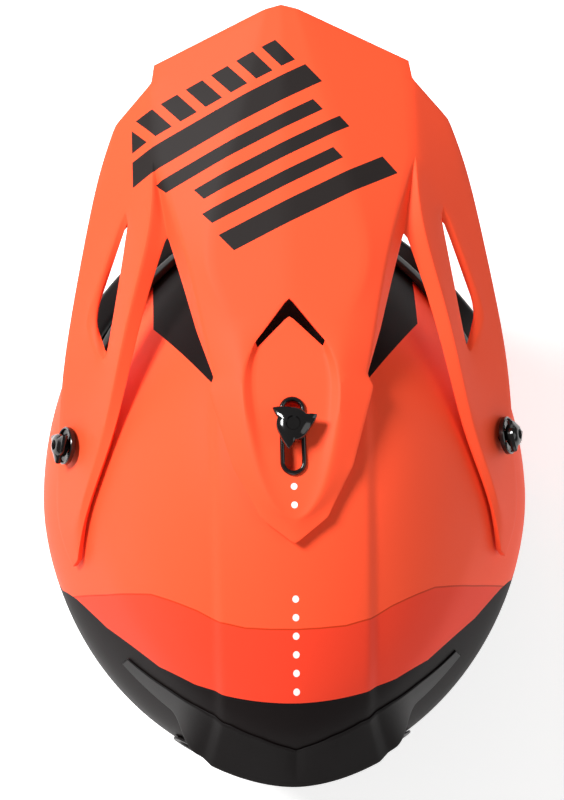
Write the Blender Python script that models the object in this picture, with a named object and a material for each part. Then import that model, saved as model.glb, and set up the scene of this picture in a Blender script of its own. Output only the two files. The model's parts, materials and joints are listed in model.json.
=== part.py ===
"""Motocross helmet: shell, liners, pads, peak with its thumb screws, trims, vents and chin strap.

The face looks along -Y and the crown is up. Sizes are in millimetres and become metres
when a mesh is made. The origin is on the ground under the middle of the helmet.
"""
import math

import bmesh
import bpy
from mathutils import Matrix, Vector

MM = 0.001
HEAD_AXIS = Vector((0.0, 4.5, 0.0))     # from the middle of the helmet's length to the head's axis
GAP = 0.4                    # clearance between neighbouring pieces
SKIN_GAP = 2.1               # clearance between two curved skins, whose flats differ

# ---- driving sizes ----
SHELL_WIDTH = 248.0          # across the cheeks
SHELL_HEIGHT = 263.0         # ground to crown
RIM_HEIGHT = 3.0             # ground to the shell's lower edge
FRONT_DEPTH = 172.0          # widest point to the chin
REAR_DEPTH = 144.0           # widest point to the back of the head
SHELL_WALL = 4.0
CHIN_RISE = 14.0             # how far the chin's lower edge lifts off the ground
CHIN_RISE_START = 55.0       # where that lift starts, in front of the middle
CHIN_RISE_END = 20.0         # and how far behind the chin's front it is full
CHIN_RISE_FADE = 0.34        # share of the shell's height over which it fades out

LINER_DEPTH = 36.0           # outer skin to the impact liner's inner face
PAD_THICKNESS = 7.0          # crown pad
CHIN_LINER_DEPTH = 23.0      # outer skin to the chin liner's inner face

PORT_WIDTH = 220.0           # eye port
PORT_HEIGHT = 92.0
PORT_CENTRE_Z = 152.0
PORT_SQUARENESS = 3.2
PORT_TAPER = 0.03
PORT_CORNER_MARGIN = 26.0    # the liner stays this far behind the port's corners
TRIM_LIP = 1.6               # rubber thickness of the edgings
TRIM_REACH = 5.0             # how far an edging laps over the shell
EDGE_GAP = 0.8               # between an edging and the wall's edge
PORT_POINTS = 40
VENT_POINTS = 14
VENT_FRAME = 2.0             # wall of a vent's frame
VENT_GAP = 0.7               # between that frame and its hole

HINGE_Y = 6.0                # the peak tilts about the line through its side screws
HINGE_Z = 187.0
SIDE_SCREW_LEAN = math.radians(26.0)
SHAFT_RADIUS = 2.5
SHAFT_HOLE_RADIUS = 3.3
INSERT_RADIUS = 5.0
KNOB_HUB = 7.0
KNOB_WING = 12.5
KNOB_THICKNESS = 5.0
SIDE_KNOB_RADIUS = 9.6
WASHER_RADIUS = 8.4
WASHER_WALL = 1.1
WASHER_GAP = 1.1             # the peak tips a little under the side screws' heads

PEAK_WALL = 2.6
PEAK_TIP_Y = -186.0
PEAK_TIP_Z = 288.0
PEAK_CORNER_X = 61.5
SLOT_LENGTH = 33.3
SLOT_WIDTH = 8.5
SLOT_Y = 21.0
SLOT_RIM = 2.4
SEAT_GAP = 0.6               # bezel over the scoop's floor
CENTRE_SCREW_Y = 17.0
SCOOP_DEPTH = 16.8           # peak tip to the scoop's floor
KNOB_LIFT = 4.2              # that floor to the centre knob's underside
SIDE_SEAT = 10.8             # the side skin to a side knob's underside

SPOILER_EDGE_Z = 172.0        # height of the spoiler's trailing edge
SPOILER_DROP = 14.0          # its ends lie this much lower
SPOILER_SPREAD = 52.0        # degrees to each side
SPOILER_LIP = 12.0           # how far the trailing edge stands out
SPOILER_LIP_ENDS = (0.5, 0.68)      # shares of the spread where that lip starts and ends its fall
SPOILER_TOP = ((0.0, 187.0), (0.22, 192.0), (0.39, 192.0), (0.57, 187.0), (0.73, 180.5), (1.0, 164.0))

STRAP_WIDTH = 22.0
STRAP_THICKNESS = 1.8
STRAP_Y = 41.0
STRAP_HINGE_X = 67.0
STRAP_HINGE_Z = 56.0
STRAP_LOW_Z = 9.0
RING_WIRE = 1.6
SLEEVE_WALL = 2.2

# Levels of the outer skin from the rim to the crown: share of the height, of the front depth,
# of the rear depth and of the half width, y of the widest point, front and rear roundness.
SHELL_LEVELS = (
    (0.000, 0.790, 0.780, 0.840, 14.0, 1.90, 2.00),
    (0.127, 0.928, 0.865, 0.930, 18.0, 1.90, 2.00),
    (0.258, 1.000, 0.925, 0.975, 20.0, 1.90, 1.95),
    (0.404, 0.948, 0.975, 1.000, 22.0, 1.95, 1.87),
    (0.535, 0.866, 1.000, 0.984, 22.0, 2.00, 1.80),
    (0.696, 0.762, 0.970, 0.830, 19.0, 2.00, 1.80),
    (0.781, 0.680, 0.872, 0.716, 17.0, 2.00, 1.85),
    (0.858, 0.564, 0.704, 0.590, 15.0, 2.00, 1.90),
    (0.931, 0.395, 0.488, 0.430, 12.0, 2.00, 2.00),
    (0.977, 0.221, 0.292, 0.262, 10.0, 2.00, 2.00),
    (0.996, 0.087, 0.115, 0.113, 9.0, 2.00, 2.00),
    (1.000, 0.000, 0.000, 0.000, 8.0, 2.00, 2.00),
)
CROWN = len(SHELL_LEVELS) - 1.0

ORANGE = (0.87, 0.10, 0.025)
BLACK = (0.012, 0.010, 0.010)
GLOSS_BLACK = (0.006, 0.006, 0.007)
RUBBER = (0.018, 0.017, 0.017)
FOAM = (0.055, 0.055, 0.058)
FABRIC = (0.035, 0.034, 0.037)
WEBBING = (0.020, 0.020, 0.022)
STEEL = (0.60, 0.59, 0.57)
BRASS = (0.72, 0.53, 0.22)


# ---- scene helpers ----
def clear_scene():
    for obj in list(bpy.data.objects):
        bpy.data.objects.remove(obj, do_unlink=True)


def make_material(name, colour, roughness, metallic=0.0):
    material = bpy.data.materials.new(name)
    material.use_nodes = True
    shader = material.node_tree.nodes["Principled BSDF"]
    shader.inputs["Base Color"].default_value = (*colour, 1.0)
    shader.inputs["Roughness"].default_value = roughness
    shader.inputs["Metallic"].default_value = metallic
    return material


def add_empty(name, place):
    empty = bpy.data.objects.new(name, None)
    empty.location = (Vector(place) + HEAD_AXIS) * MM
    bpy.context.scene.collection.objects.link(empty)
    return empty


def add_object(name, bm, look=None, origin=(0.0, 0.0, 0.0), parent=None, smooth=35.0):
    """Turns a bmesh in millimetres into an object; a moving piece's origin is on its axis."""
    bmesh.ops.remove_doubles(bm, verts=bm.verts, dist=1e-4)
    bmesh.ops.recalc_face_normals(bm, faces=bm.faces)
    move = Matrix.Translation(-Vector(origin))
    bmesh.ops.transform(bm, matrix=Matrix.Scale(MM, 4) @ move, verts=bm.verts)
    mesh = bpy.data.meshes.new(name)
    bm.to_mesh(mesh)
    bm.free()
    mesh.shade_smooth()
    mesh.set_sharp_from_angle(angle=math.radians(smooth))
    obj = bpy.data.objects.new(name, mesh)
    bpy.context.scene.collection.objects.link(obj)
    place = (Vector(origin) + HEAD_AXIS) * MM
    if parent:
        obj.parent = parent
        place = place - parent.location
    obj.location = place
    if look:
        mesh.materials.append(make_material(name, *look))
    return obj


def cut(target, cutter):
    """Subtracts a closed guide object from a piece."""
    cutter.hide_render = True
    cutter.display_type = "WIRE"
    modifier = target.modifiers.new("cut_" + cutter.name, "BOOLEAN")
    modifier.operation = "DIFFERENCE"
    modifier.solver = "EXACT"
    modifier.object = cutter


# ---- the shell's surface ----
def level_values(s):
    """Smoothly blends the level table: a Catmull-Rom curve through its rows."""
    s = min(max(s, 0.0), CROWN)
    i = min(int(s), int(CROWN) - 1)
    t = s - i
    rows = [SHELL_LEVELS[min(max(i + k, 0), int(CROWN))] for k in (-1, 0, 1, 2)]
    values = []
    for a, b, c, d in zip(*rows):
        curve = 2 * b + (c - a) * t + (2 * a - 5 * b + 4 * c - d) * t * t
        values.append(0.5 * (curve + (3 * b - a - 3 * c + d) * t * t * t))
    return values


def level_at_height(z):
    """The level whose height is z."""
    low, high = 0.0, CROWN
    for _ in range(40):
        middle = (low + high) / 2
        if RIM_HEIGHT + level_values(middle)[0] * (SHELL_HEIGHT - RIM_HEIGHT) < z:
            low = middle
        else:
            high = middle
    return low


def chin_lift(y, height_share):
    """The chin bar's lower edge rises towards the front."""
    reach = FRONT_DEPTH - CHIN_RISE_END - CHIN_RISE_START
    t = min(max((-y - CHIN_RISE_START) / reach, 0.0), 1.0)
    fade = max(0.0, 1.0 - height_share / CHIN_RISE_FADE)
    return CHIN_RISE * t * t * (3 - 2 * t) * fade


def skin(s, a):
    """A point of the outer skin at level s; a is the angle from +X towards the rear."""
    share, front, rear, half, middle, round_front, round_rear = level_values(s)
    sine, cosine = math.sin(a), math.cos(a)
    depth, roundness = (rear * REAR_DEPTH, round_rear) if sine > 0 else (front * FRONT_DEPTH, round_front)
    x = half * SHELL_WIDTH / 2 * math.copysign(abs(cosine) ** (2 / roundness), cosine)
    y = middle + depth * math.copysign(abs(sine) ** (2 / roundness), sine)
    z = RIM_HEIGHT + share * (SHELL_HEIGHT - RIM_HEIGHT) + chin_lift(y, share)
    return Vector((x, y, z))


def skin_normal(s, a):
    """The skin's outward direction, from two short steps along it."""
    step = 0.01
    low, high = max(s - step, 0.0), min(s + step, CROWN - 0.02)
    up = skin(high, a) - skin(low, a)
    along = skin(s, a + step) - skin(s, a - step)
    if along.length < 1e-6 or up.length < 1e-6:
        return Vector((0, 0, 1))
    return along.cross(up).normalized()


def under_skin(s, a, inset):
    """A point that lies a given depth under the outer skin."""
    if s > CROWN - 0.03:
        return Vector((0.0, SHELL_LEVELS[-1][4], SHELL_HEIGHT - inset))
    return skin(s, a) - skin_normal(s, a) * inset


def level_section(s):
    share, front, rear, half, middle, round_front, round_rear = level_values(s)
    return half * SHELL_WIDTH / 2, front * FRONT_DEPTH, rear * REAR_DEPTH, middle, round_front, round_rear


def side_x(y, z):
    """Half width of the skin at a height and a place along the helmet."""
    half, front, rear, middle, round_front, round_rear = level_section(level_at_height(z))
    depth, roundness = (rear, round_rear) if y > middle else (front, round_front)
    share = min(abs(y - middle) / depth, 1.0)
    return half * (1 - share ** roundness) ** (1 / roundness)


def face_angle(x, z):
    """The angle that names the skin's front point at a given x and height."""
    half, front, rear, middle, round_front, round_rear = level_section(level_at_height(z))
    share = min(abs(x) / half, 1.0)
    return -math.acos(math.copysign(share ** (round_front / 2), x))


# ---- mesh helpers ----
def add_ring(bm, points):
    return [bm.verts.new(p) for p in points]


def join_rings(bm, lower, upper, closed=True):
    count = len(lower)
    for i in range(count if closed else count - 1):
        j = (i + 1) % count
        bm.faces.new((lower[i], lower[j], upper[j], upper[i]))


def fan(bm, ring, tip):
    for i, vert in enumerate(ring):
        bm.faces.new((vert, ring[(i + 1) % len(ring)], tip))


def dome_rings(bm, inset, bottom, rows, segments):
    """Rings of the skin at one depth from a level up to the crown, closed by a pole."""
    rings = []
    for row in range(rows):
        s = bottom + (CROWN - bottom) * row / rows
        angles = [2 * math.pi * k / segments for k in range(segments)]
        rings.append(add_ring(bm, [under_skin(s, a, inset) for a in angles]))
    for lower, upper in zip(rings, rings[1:]):
        join_rings(bm, lower, upper)
    fan(bm, rings[-1], bm.verts.new(under_skin(CROWN, 0.0, inset)))
    return rings[0]


def dome_solid(outer, inner, bottom, rows, segments):
    """A closed bowl between two depths under the skin."""
    bm = bmesh.new()
    rim_outer = dome_rings(bm, outer, bottom, rows, segments)
    rim_inner = dome_rings(bm, inner, bottom, rows, segments)
    join_rings(bm, rim_outer, rim_inner)
    return bm


def patch_solid(place, outer, inner, rows, columns):
    """A closed slab over a stretch of the skin: place(u, v) gives level and angle for u, v in 0..1."""
    bm = bmesh.new()
    sheets = []
    for depth in (outer, inner):
        sheet = []
        for i in range(rows + 1):
            line = []
            for j in range(columns + 1):
                u, v = i / rows, j / columns
                inset = depth(u, v) if callable(depth) else depth
                line.append(bm.verts.new(under_skin(*place(u, v), inset)))
            sheet.append(line)
        sheets.append(sheet)
        for lower, upper in zip(sheet, sheet[1:]):
            join_rings(bm, lower, upper, closed=False)
    borders = []
    for sheet in sheets:
        border = list(sheet[0])
        border += [line[-1] for line in sheet[1:]]
        border += list(reversed(sheet[-1][:-1]))
        border += [line[0] for line in reversed(sheet[1:-1])]
        borders.append(border)
    join_rings(bm, *borders)
    return bm


def plug_solid(outline, outer, inner, count=VENT_POINTS, scale=1.0, rings=2):
    """A closed plug under a round outline on the skin: outline(t) gives level and angle."""
    centre = [sum(c) / 8 for c in zip(*[outline(2 * math.pi * k / 8) for k in range(8)])]
    bm = bmesh.new()
    borders = []
    for inset in (outer, inner):
        loops = []
        for r in range(rings, 0, -1):
            share = scale * r / rings
            points = []
            for k in range(count):
                s, a = outline(2 * math.pi * k / count)
                spot = (centre[0] + (s - centre[0]) * share, centre[1] + (a - centre[1]) * share)
                points.append(under_skin(*spot, inset))
            loops.append(add_ring(bm, points))
        for big, small in zip(loops, loops[1:]):
            join_rings(bm, big, small)
        fan(bm, loops[-1], bm.verts.new(under_skin(*centre, inset)))
        borders.append(loops[0])
    join_rings(bm, *borders)
    return bm


def sweep_ring(frames, section):
    """A closed ring: each frame is (point, outward, up), and section points are (out, up)."""
    bm = bmesh.new()
    loops = [add_ring(bm, [p + out * a + up * b for a, b in section]) for p, out, up in frames]
    for first, second in zip(loops, loops[1:] + loops[:1]):
        join_rings(bm, first, second)
    return bm


def ribbon(path, width, thickness, y):
    """Webbing whose flat sides follow a path of (x, z) points."""
    sides = ([], [])
    for i, (x, z) in enumerate(path):
        before, after = Vector(path[max(i - 1, 0)]), Vector(path[min(i + 1, len(path) - 1)])
        along = (after - before).normalized()
        across = Vector((-along.y, along.x)) * thickness / 2
        sides[0].append((x + across.x, z + across.y))
        sides[1].append((x - across.x, z - across.y))
    outline = sides[0] + sides[1][::-1]
    bm = bmesh.new()
    near = add_ring(bm, [(x, y - width / 2, z) for x, z in outline])
    far = add_ring(bm, [(x, y + width / 2, z) for x, z in outline])
    join_rings(bm, near, far)
    count = len(path)
    for ring in (near, far):
        for i in range(count - 1):
            bm.faces.new((ring[i], ring[i + 1], ring[2 * count - 2 - i], ring[2 * count - 1 - i]))
    return bm


def cylinder(radius, bottom, top, segments=20):
    bm = bmesh.new()
    lower = add_ring(bm, circle_points(radius, bottom, segments))
    upper = add_ring(bm, circle_points(radius, top, segments))
    join_rings(bm, lower, upper)
    bm.faces.new(lower)
    bm.faces.new(upper)
    return bm


def circle_points(radius, z, segments):
    turns = [2 * math.pi * k / segments for k in range(segments)]
    return [(radius * math.cos(t), radius * math.sin(t), z) for t in turns]


def smooth_path(points, steps):
    """Catmull-Rom curve through points."""
    path = []
    for i in range(len(points) - 1):
        a, b, c, d = (Vector(points[min(max(i + k, 0), len(points) - 1)]) for k in (-1, 0, 1, 2))
        for n in range(steps):
            t = n / steps
            path.append(0.5 * (2 * b + (c - a) * t + (2 * a - 5 * b + 4 * c - d) * t * t
                               + (3 * b - a - 3 * c + d) * t * t * t))
    path.append(Vector(points[-1]))
    return [tuple(p) for p in path]


# ---- openings in the shell ----
def port_spot(t):
    """The eye port's outline on the skin, as level and angle; it is wider at the brow."""
    power = 2 / PORT_SQUARENESS
    across = math.copysign(abs(math.cos(t)) ** power, math.cos(t))
    up = math.copysign(abs(math.sin(t)) ** power, math.sin(t))
    x = across * PORT_WIDTH / 2 * (1 - PORT_TAPER + PORT_TAPER * up)
    z = PORT_CENTRE_Z + up * PORT_HEIGHT / 2
    return level_at_height(z), face_angle(x, z)


def vent(height, angle, half_height, half_angle, squareness, slant=0.0):
    """An outline on the skin around a height and an angle in degrees; slant leans its ends."""
    middle = level_at_height(height)
    half_level = (level_at_height(height + half_height) - level_at_height(height - half_height)) / 2

    def outline(t):
        power = 2 / squareness
        along = math.copysign(abs(math.cos(t)) ** power, math.cos(t))
        across = math.copysign(abs(math.sin(t)) ** power, math.sin(t))
        return middle + half_level * (across + slant * along), math.radians(angle + half_angle * along)
    return outline


VENTS = {
    "mouth_vent": vent(57.0, -90.0, 15.0, 17.0, 3.0),
    "chin_vent_left": vent(60.0, -46.0, 9.0, 9.0, 2.6, 0.25),
    "chin_vent_right": vent(60.0, -134.0, 9.0, 9.0, 2.6, -0.25),
    "brow_vent_left": vent(221.0, -76.0, 5.0, 7.0, 2.4, -0.1),
    "brow_vent_right": vent(221.0, -104.0, 5.0, 7.0, 2.4, 0.1),
    "rear_vent_left": vent(128.0, 68.0, 10.0, 8.0, 2.6, -0.25),
    "rear_vent_right": vent(128.0, 112.0, 10.0, 8.0, 2.6, 0.25),
}


# ---- shell and liners ----
def build_shell():
    shell = add_object("outer_shell", dome_solid(0.0, SHELL_WALL, 0.0, 14, 36), (ORANGE, 0.42))
    port = plug_solid(port_spot, -8.0, SHELL_WALL + 6.0, PORT_POINTS, rings=4)
    cut(shell, add_object("port_cutter", port))
    for name, outline in VENTS.items():
        cut(shell, add_object(name + "_cutter", plug_solid(outline, -6.0, SHELL_WALL + 3.0)))
    for name, frame in SCREW_FRAMES.items():
        hole = cylinder(INSERT_RADIUS + GAP, -30.0, 30.0, 16)
        bmesh.ops.transform(hole, matrix=frame, verts=hole.verts)
        cut(shell, add_object(name + "_shell_hole", hole))
    return shell


def side_profile_cutter(name, shift):
    """Clears the face opening and the neck from a bowl: all below this side line goes."""
    brow = PORT_CENTRE_Z + PORT_HEIGHT / 2 + 7.0 + shift
    corner = max(skin(*port_spot(t)).y for t in (0.0, 0.3, 0.6, 0.9)) + PORT_CORNER_MARGIN
    line = [(-260.0, brow), (corner - 55.0, brow), (corner - 8.0, brow - 11.0),
            (corner, 116.0 + shift), (57.0, 114.0 + shift), (70.0, 54.0 + shift),
            (260.0, 50.0 + shift), (260.0, -60.0), (-260.0, -60.0)]
    bm = bmesh.new()
    left = add_ring(bm, [(SHELL_WIDTH, y, z) for y, z in line])
    right = add_ring(bm, [(-SHELL_WIDTH, y, z) for y, z in line])
    join_rings(bm, left, right)
    bm.faces.new(left)
    bm.faces.new(right)
    return add_object(name, bm)


def build_liners():
    outer = SHELL_WALL + SKIN_GAP
    liner = add_object("impact_liner", dome_solid(outer, LINER_DEPTH, 1.0, 10, 24), (FOAM, 0.9))
    cut(liner, side_profile_cutter("liner_cutter", 0.0))
    for name, frame in SCREW_FRAMES.items():
        pocket = cylinder(INSERT_RADIUS + 3.5, -14.0, 20.0, 14)
        bmesh.ops.transform(pocket, matrix=frame, verts=pocket.verts)
        cut(liner, add_object(name + "_pocket", pocket))
    for name in ("brow_vent_left", "brow_vent_right", "rear_vent_left", "rear_vent_right"):
        cut(liner, add_object(name + "_duct", plug_solid(VENTS[name], 2.0, 15.0, 16, 1.3)))

    pad_outer = LINER_DEPTH + GAP
    pad = add_object("crown_pad", dome_solid(pad_outer, pad_outer + PAD_THICKNESS, 1.0, 10, 24),
                     (FABRIC, 0.95))
    cut(pad, side_profile_cutter("pad_cutter", 6.0))

    low, high = level_at_height(14.0), level_at_height(97.0)
    bm = patch_solid(lambda u, v: (low + (high - low) * u, math.radians(-146.0 + 112.0 * v)),
                     outer + 0.6, CHIN_LINER_DEPTH, 4, 16)
    chin = add_object("chin_liner", bm, (FOAM, 0.9))
    for name in ("mouth_vent", "chin_vent_left", "chin_vent_right"):
        cut(chin, add_object(name + "_duct", plug_solid(VENTS[name], 2.0, 13.0, 16, 1.3)))


def mirrored_angle(angle, side):
    """Angles are given for the left side, +X; the right side mirrors them."""
    return math.radians(angle if side > 0 else 180.0 - angle)


def build_pads():
    for side, word in ((1, "left"), (-1, "right")):
        low, high = level_at_height(15.0), level_at_height(104.0)

        def cheek(u, v, low=low, high=high, side=side):
            return low + (high - low) * u, mirrored_angle(-27.0 + 28.0 * v, side)

        def plate(u, v, side=side):
            return level_at_height(24.0 + 70.0 * u), mirrored_angle(-24.0 + 22.0 * v, side)

        plate_outer = SHELL_WALL + SKIN_GAP
        add_object("cheek_plate_" + word, patch_solid(plate, plate_outer, plate_outer + 2.2, 3, 4),
                   (RUBBER, 0.5))
        face = plate_outer + 2.2 + GAP + 1.6
        add_object("cheek_pad_" + word, patch_solid(cheek, face, LINER_DEPTH + 4.0, 5, 6),
                   (FABRIC, 0.95))

    def roll(u, v):
        return level_at_height(12.0 + 26.0 * u), math.radians(27.0 + 126.0 * v)
    add_object("neck_roll", patch_solid(roll, 10.0, 27.0, 3, 16), (FABRIC, 0.95))

    def guard(u, v):
        return level_at_height(72.0 + 50.0 * u), math.radians(-112.0 + 44.0 * v)

    def guard_outer(u, v):
        edge = (2 * v - 1) ** 4
        return CHIN_LINER_DEPTH + 1.0 + 2.0 * edge

    def guard_inner(u, v):
        return guard_outer(u, v) + 3.0 - 1.2 * u
    add_object("nose_guard", patch_solid(guard, guard_outer, guard_inner, 4, 10), (RUBBER, 0.7))


# ---- edgings, vents and spoiler ----
def edge_section(lip, reach, wall):
    """A U that laps over a wall's edge: outward along the wall is +, up out of the skin is +."""
    over = lip + SKIN_GAP
    under = -wall - SKIN_GAP
    foot = -lip - EDGE_GAP
    return ((foot, over), (reach, over), (reach, SKIN_GAP), (-EDGE_GAP, SKIN_GAP),
            (-EDGE_GAP, under), (reach, under), (reach, under - lip), (foot, under - lip))


def ring_frames(point_at, count):
    """Frames along a closed edge of the skin; point_at(t) gives level and angle."""
    spots = [point_at(2 * math.pi * k / count) for k in range(count)]
    points = [skin(*spot) for spot in spots]
    frames = []
    for k, spot in enumerate(spots):
        along = (points[(k + 1) % count] - points[k - 1]).normalized()
        up = skin_normal(*spot)
        frames.append((points[k], along.cross(up).normalized(), up))
    return frames


def build_edgings():
    frames = ring_frames(port_spot, PORT_POINTS)
    front = skin(level_at_height(PORT_CENTRE_Z), -math.pi / 2)
    frames = [(p, out if (p - front).dot(out) > 0 else -out, up) for p, out, up in frames]
    bm = sweep_ring(frames, edge_section(TRIM_LIP, 3.0, SHELL_WALL))
    add_object("eye_port_gasket", bm, (RUBBER, 0.7))

    bm = bmesh.new()
    loops = []
    count = 32
    for k in range(count):
        a = 2 * math.pi * k / count
        p, up = skin(0.0, a), skin_normal(0.0, a)
        rise = (skin(0.05, a) - p)
        rise = (rise - up * rise.dot(up)).normalized()
        points = [p + up * b + rise * r for r, b in edge_section(TRIM_LIP, TRIM_REACH, SHELL_WALL)]
        for index in (0, 7):
            points[index].z = p.z - RIM_HEIGHT
        loops.append(add_ring(bm, points))
    for first, second in zip(loops, loops[1:] + loops[:1]):
        join_rings(bm, first, second)
    add_object("base_trim", bm, (RUBBER, 0.75))


def build_vents():
    """Each vent is a frame that lines the hole, and a foam dust filter behind the shell's wall."""
    for name, outline in VENTS.items():
        bm = bmesh.new()
        loops = []
        for k in range(VENT_POINTS):
            t = 2 * math.pi * k / VENT_POINTS
            spot = outline(t)
            p, up = skin(*spot), skin_normal(*spot)
            inward = skin(*outline(t + math.pi)) - p
            inward = (inward - up * inward.dot(up)).normalized()
            inner = VENT_GAP + VENT_FRAME
            section = ((VENT_GAP, 1.2), (inner, 0.6), (inner, -SHELL_WALL), (VENT_GAP, -SHELL_WALL))
            loops.append(add_ring(bm, [p + inward * i + up * h for i, h in section]))
        for first, second in zip(loops, loops[1:] + loops[:1]):
            join_rings(bm, first, second)
        add_object(name + "_frame", bm, (BLACK, 0.5))

        back = SHELL_WALL + SKIN_GAP + 0.7
        filter_foam = plug_solid(outline, back, back + 2.0, scale=1.12, rings=1)
        add_object(name + "_filter", filter_foam, (BLACK, 0.9))


def along_line(points, x):
    """Height of a bent line at x."""
    for (x0, z0), (x1, z1) in zip(points, points[1:]):
        if x <= x1:
            return z0 + (z1 - z0) * (x - x0) / (x1 - x0)
    return points[-1][1]


def build_spoiler():
    """A bonded wedge: a shallow V along its top, and a lip over its middle."""
    def place(u, v):
        side = abs(2 * v - 1)
        edge = SPOILER_EDGE_Z - SPOILER_DROP * side * side
        z = edge + (along_line(SPOILER_TOP, side) - edge) * u
        return level_at_height(z), math.radians(90.0 + SPOILER_SPREAD * (2 * v - 1))

    def height(u, v):
        start, end = SPOILER_LIP_ENDS
        fall = min(max((abs(2 * v - 1) - start) / (end - start), 0.0), 1.0)
        return -SKIN_GAP - 1.2 - SPOILER_LIP * (1 - fall) * (1 - u) ** 1.25
    add_object("rear_spoiler", patch_solid(place, height, -SKIN_GAP, 5, 26), (BLACK, 0.45))


# ---- peak ----
def beside_shell(y, z, standoff):
    """A point off the shell's side."""
    return side_x(y, z) + standoff, y, z


def peak_points():
    """The left half of the peak's outer surface: name to place."""
    corner = PEAK_CORNER_X
    tip_y, tip_z = PEAK_TIP_Y, PEAK_TIP_Z
    front = tip_y + 23.0
    arm_x = side_x(HINGE_Y, HINGE_Z)
    points = {
        # front edge, centre to corner
        "a0": (0.0, tip_y, tip_z), "a1": (8.0, tip_y + 2.5, tip_z - 0.5),
        "a3": (corner, front, tip_z - 16.0),
        # three rows back to where the wing leaves the centre body
        "b0": (0.0, -152.0, tip_z - 0.7), "b1": (16.5, -152.0, tip_z - 2.2),
        "b3": (corner + 1.5, -154.0, tip_z - 15.8),
        "c0": (0.0, -136.0, tip_z - 1.4), "c1": (21.0, -136.0, tip_z - 2.8),
        "c3": (corner + 1.5, -137.0, tip_z - 15.6), "c4": (81.0, -138.0, tip_z - 31.0),
        "d0": (0.0, -116.0, tip_z - 2.6), "d1": (26.5, -116.0, tip_z - 4.6),
        "d3": (corner + 1.5, -116.0, tip_z - 16.0), "d4": (89.0, -117.0, tip_z - 41.0),
        # the gap opens between centre body and arm
        "e0": (0.0, -83.0, tip_z - 6.4), "e1": (36.0, -83.0, tip_z - 8.6),
        "e2": (53.0, -86.0, tip_z - 15.5), "ex": (57.0, -81.0, tip_z - 26.0),
        "e3": (64.0, -84.0, tip_z - 20.0), "e4": (arm_x - 3.8, -84.0, tip_z - 59.0),
        "f0": (0.0, -60.0, tip_z - 8.4), "f1": (40.5, -60.0, tip_z - 11.8),
        "f2": (46.8, -62.0, tip_z - 15.8), "fx": (51.0, -60.0, tip_z - 27.0),
        # hood edge over the chevron slot, rails beside the scoop
        "h0": (0.0, -43.0, tip_z - 10.3), "h1": (16.5, -24.0, tip_z - 13.2),
        "n1": (27.0, -33.0, tip_z - 12.8), "t1": (41.5, -34.0, tip_z - 18.5),
        "tx": (44.0, -33.0, tip_z - 27.0),
        "q1": (24.5, -8.0, tip_z - 13.6), "t2": (36.5, -9.0, tip_z - 21.0), "u2": (39.2, -3.0, tip_z - 21.8),
        # scoop floor
        "k0": (0.0, -33.5, tip_z - 16.6), "k1": (16.5, -23.0, tip_z - 16.6),
        "p1": (21.5, -8.0, tip_z - 16.6), "g1": (0.0, -8.0, tip_z - 16.4),
        "q2": (21.5, 17.0, tip_z - 14.0), "p2": (18.5, 17.0, tip_z - 16.8),
        "g2": (0.0, 17.0, tip_z - SCOOP_DEPTH), "t3": (33.5, 17.0, tip_z - 21.5),
        "q3": (17.0, 39.0, tip_z - 17.4), "p3": (14.0, 39.0, tip_z - 20.0),
        "g3": (0.0, 39.0, tip_z - 20.2), "t4": (28.0, 37.0, tip_z - 23.5),
        "q4": (11.0, 54.0, tip_z - 21.6), "p4": (8.5, 54.0, tip_z - 23.8),
        "g4": (0.0, 54.0, tip_z - 24.2), "t5": (18.0, 52.5, tip_z - 26.0),
        "g5": (0.0, 64.0, tip_z - 26.4), "t6": (10.0, 63.5, tip_z - 28.2),
        "g6": (0.0, 70.5, tip_z - 30.0),
        # wing with its through vent
        "v0": (77.5, -96.0, tip_z - 33.0), "vi": (arm_x - 19.3, -66.0, tip_z - 42.5),
        "vo": (arm_x - 2.8, -49.0, tip_z - 66.0), "vb": (arm_x - 11.8, -26.0, tip_z - 61.0),
        "i1": (arm_x - 30.3, -52.0, tip_z - 39.0), "r1": (arm_x - 24.8, -52.0, tip_z - 36.5),
        "w1": (arm_x + 3.2, -50.0, tip_z - 76.0),
        "i2": (arm_x - 24.3, -26.0, tip_z - 49.0), "r2": (arm_x - 18.3, -26.0, tip_z - 47.5),
        "w2": (arm_x + 9.2, -24.0, tip_z - 90.0),
    }
    # the arm lies beside the shell, over the side screw and behind it
    arm = {
        "i3": (HINGE_Y - 3.0, 220.0, 6.0), "r3": (HINGE_Y - 1.0, 217.0, 9.5),
        "m3": (HINGE_Y, 202.0, 8.0), "w3": (HINGE_Y + 1.0, 173.0, 6.5),
        "i4": (26.0, 206.0, 5.5), "r4": (27.0, 203.0, 8.5),
        "m4": (29.0, 190.0, 7.0), "w4": (31.0, 168.0, 6.0),
        "i5": (45.0, 190.0, 5.5), "r5": (46.0, 187.0, 7.5),
        "m5": (47.0, 179.0, 6.5), "w5": (48.0, 166.0, 5.5),
        "i6": (60.0, 178.0, 5.0), "w6": (62.0, 169.0, 5.0),
    }
    points.update({name: beside_shell(*spot) for name, spot in arm.items()})
    return points


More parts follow.
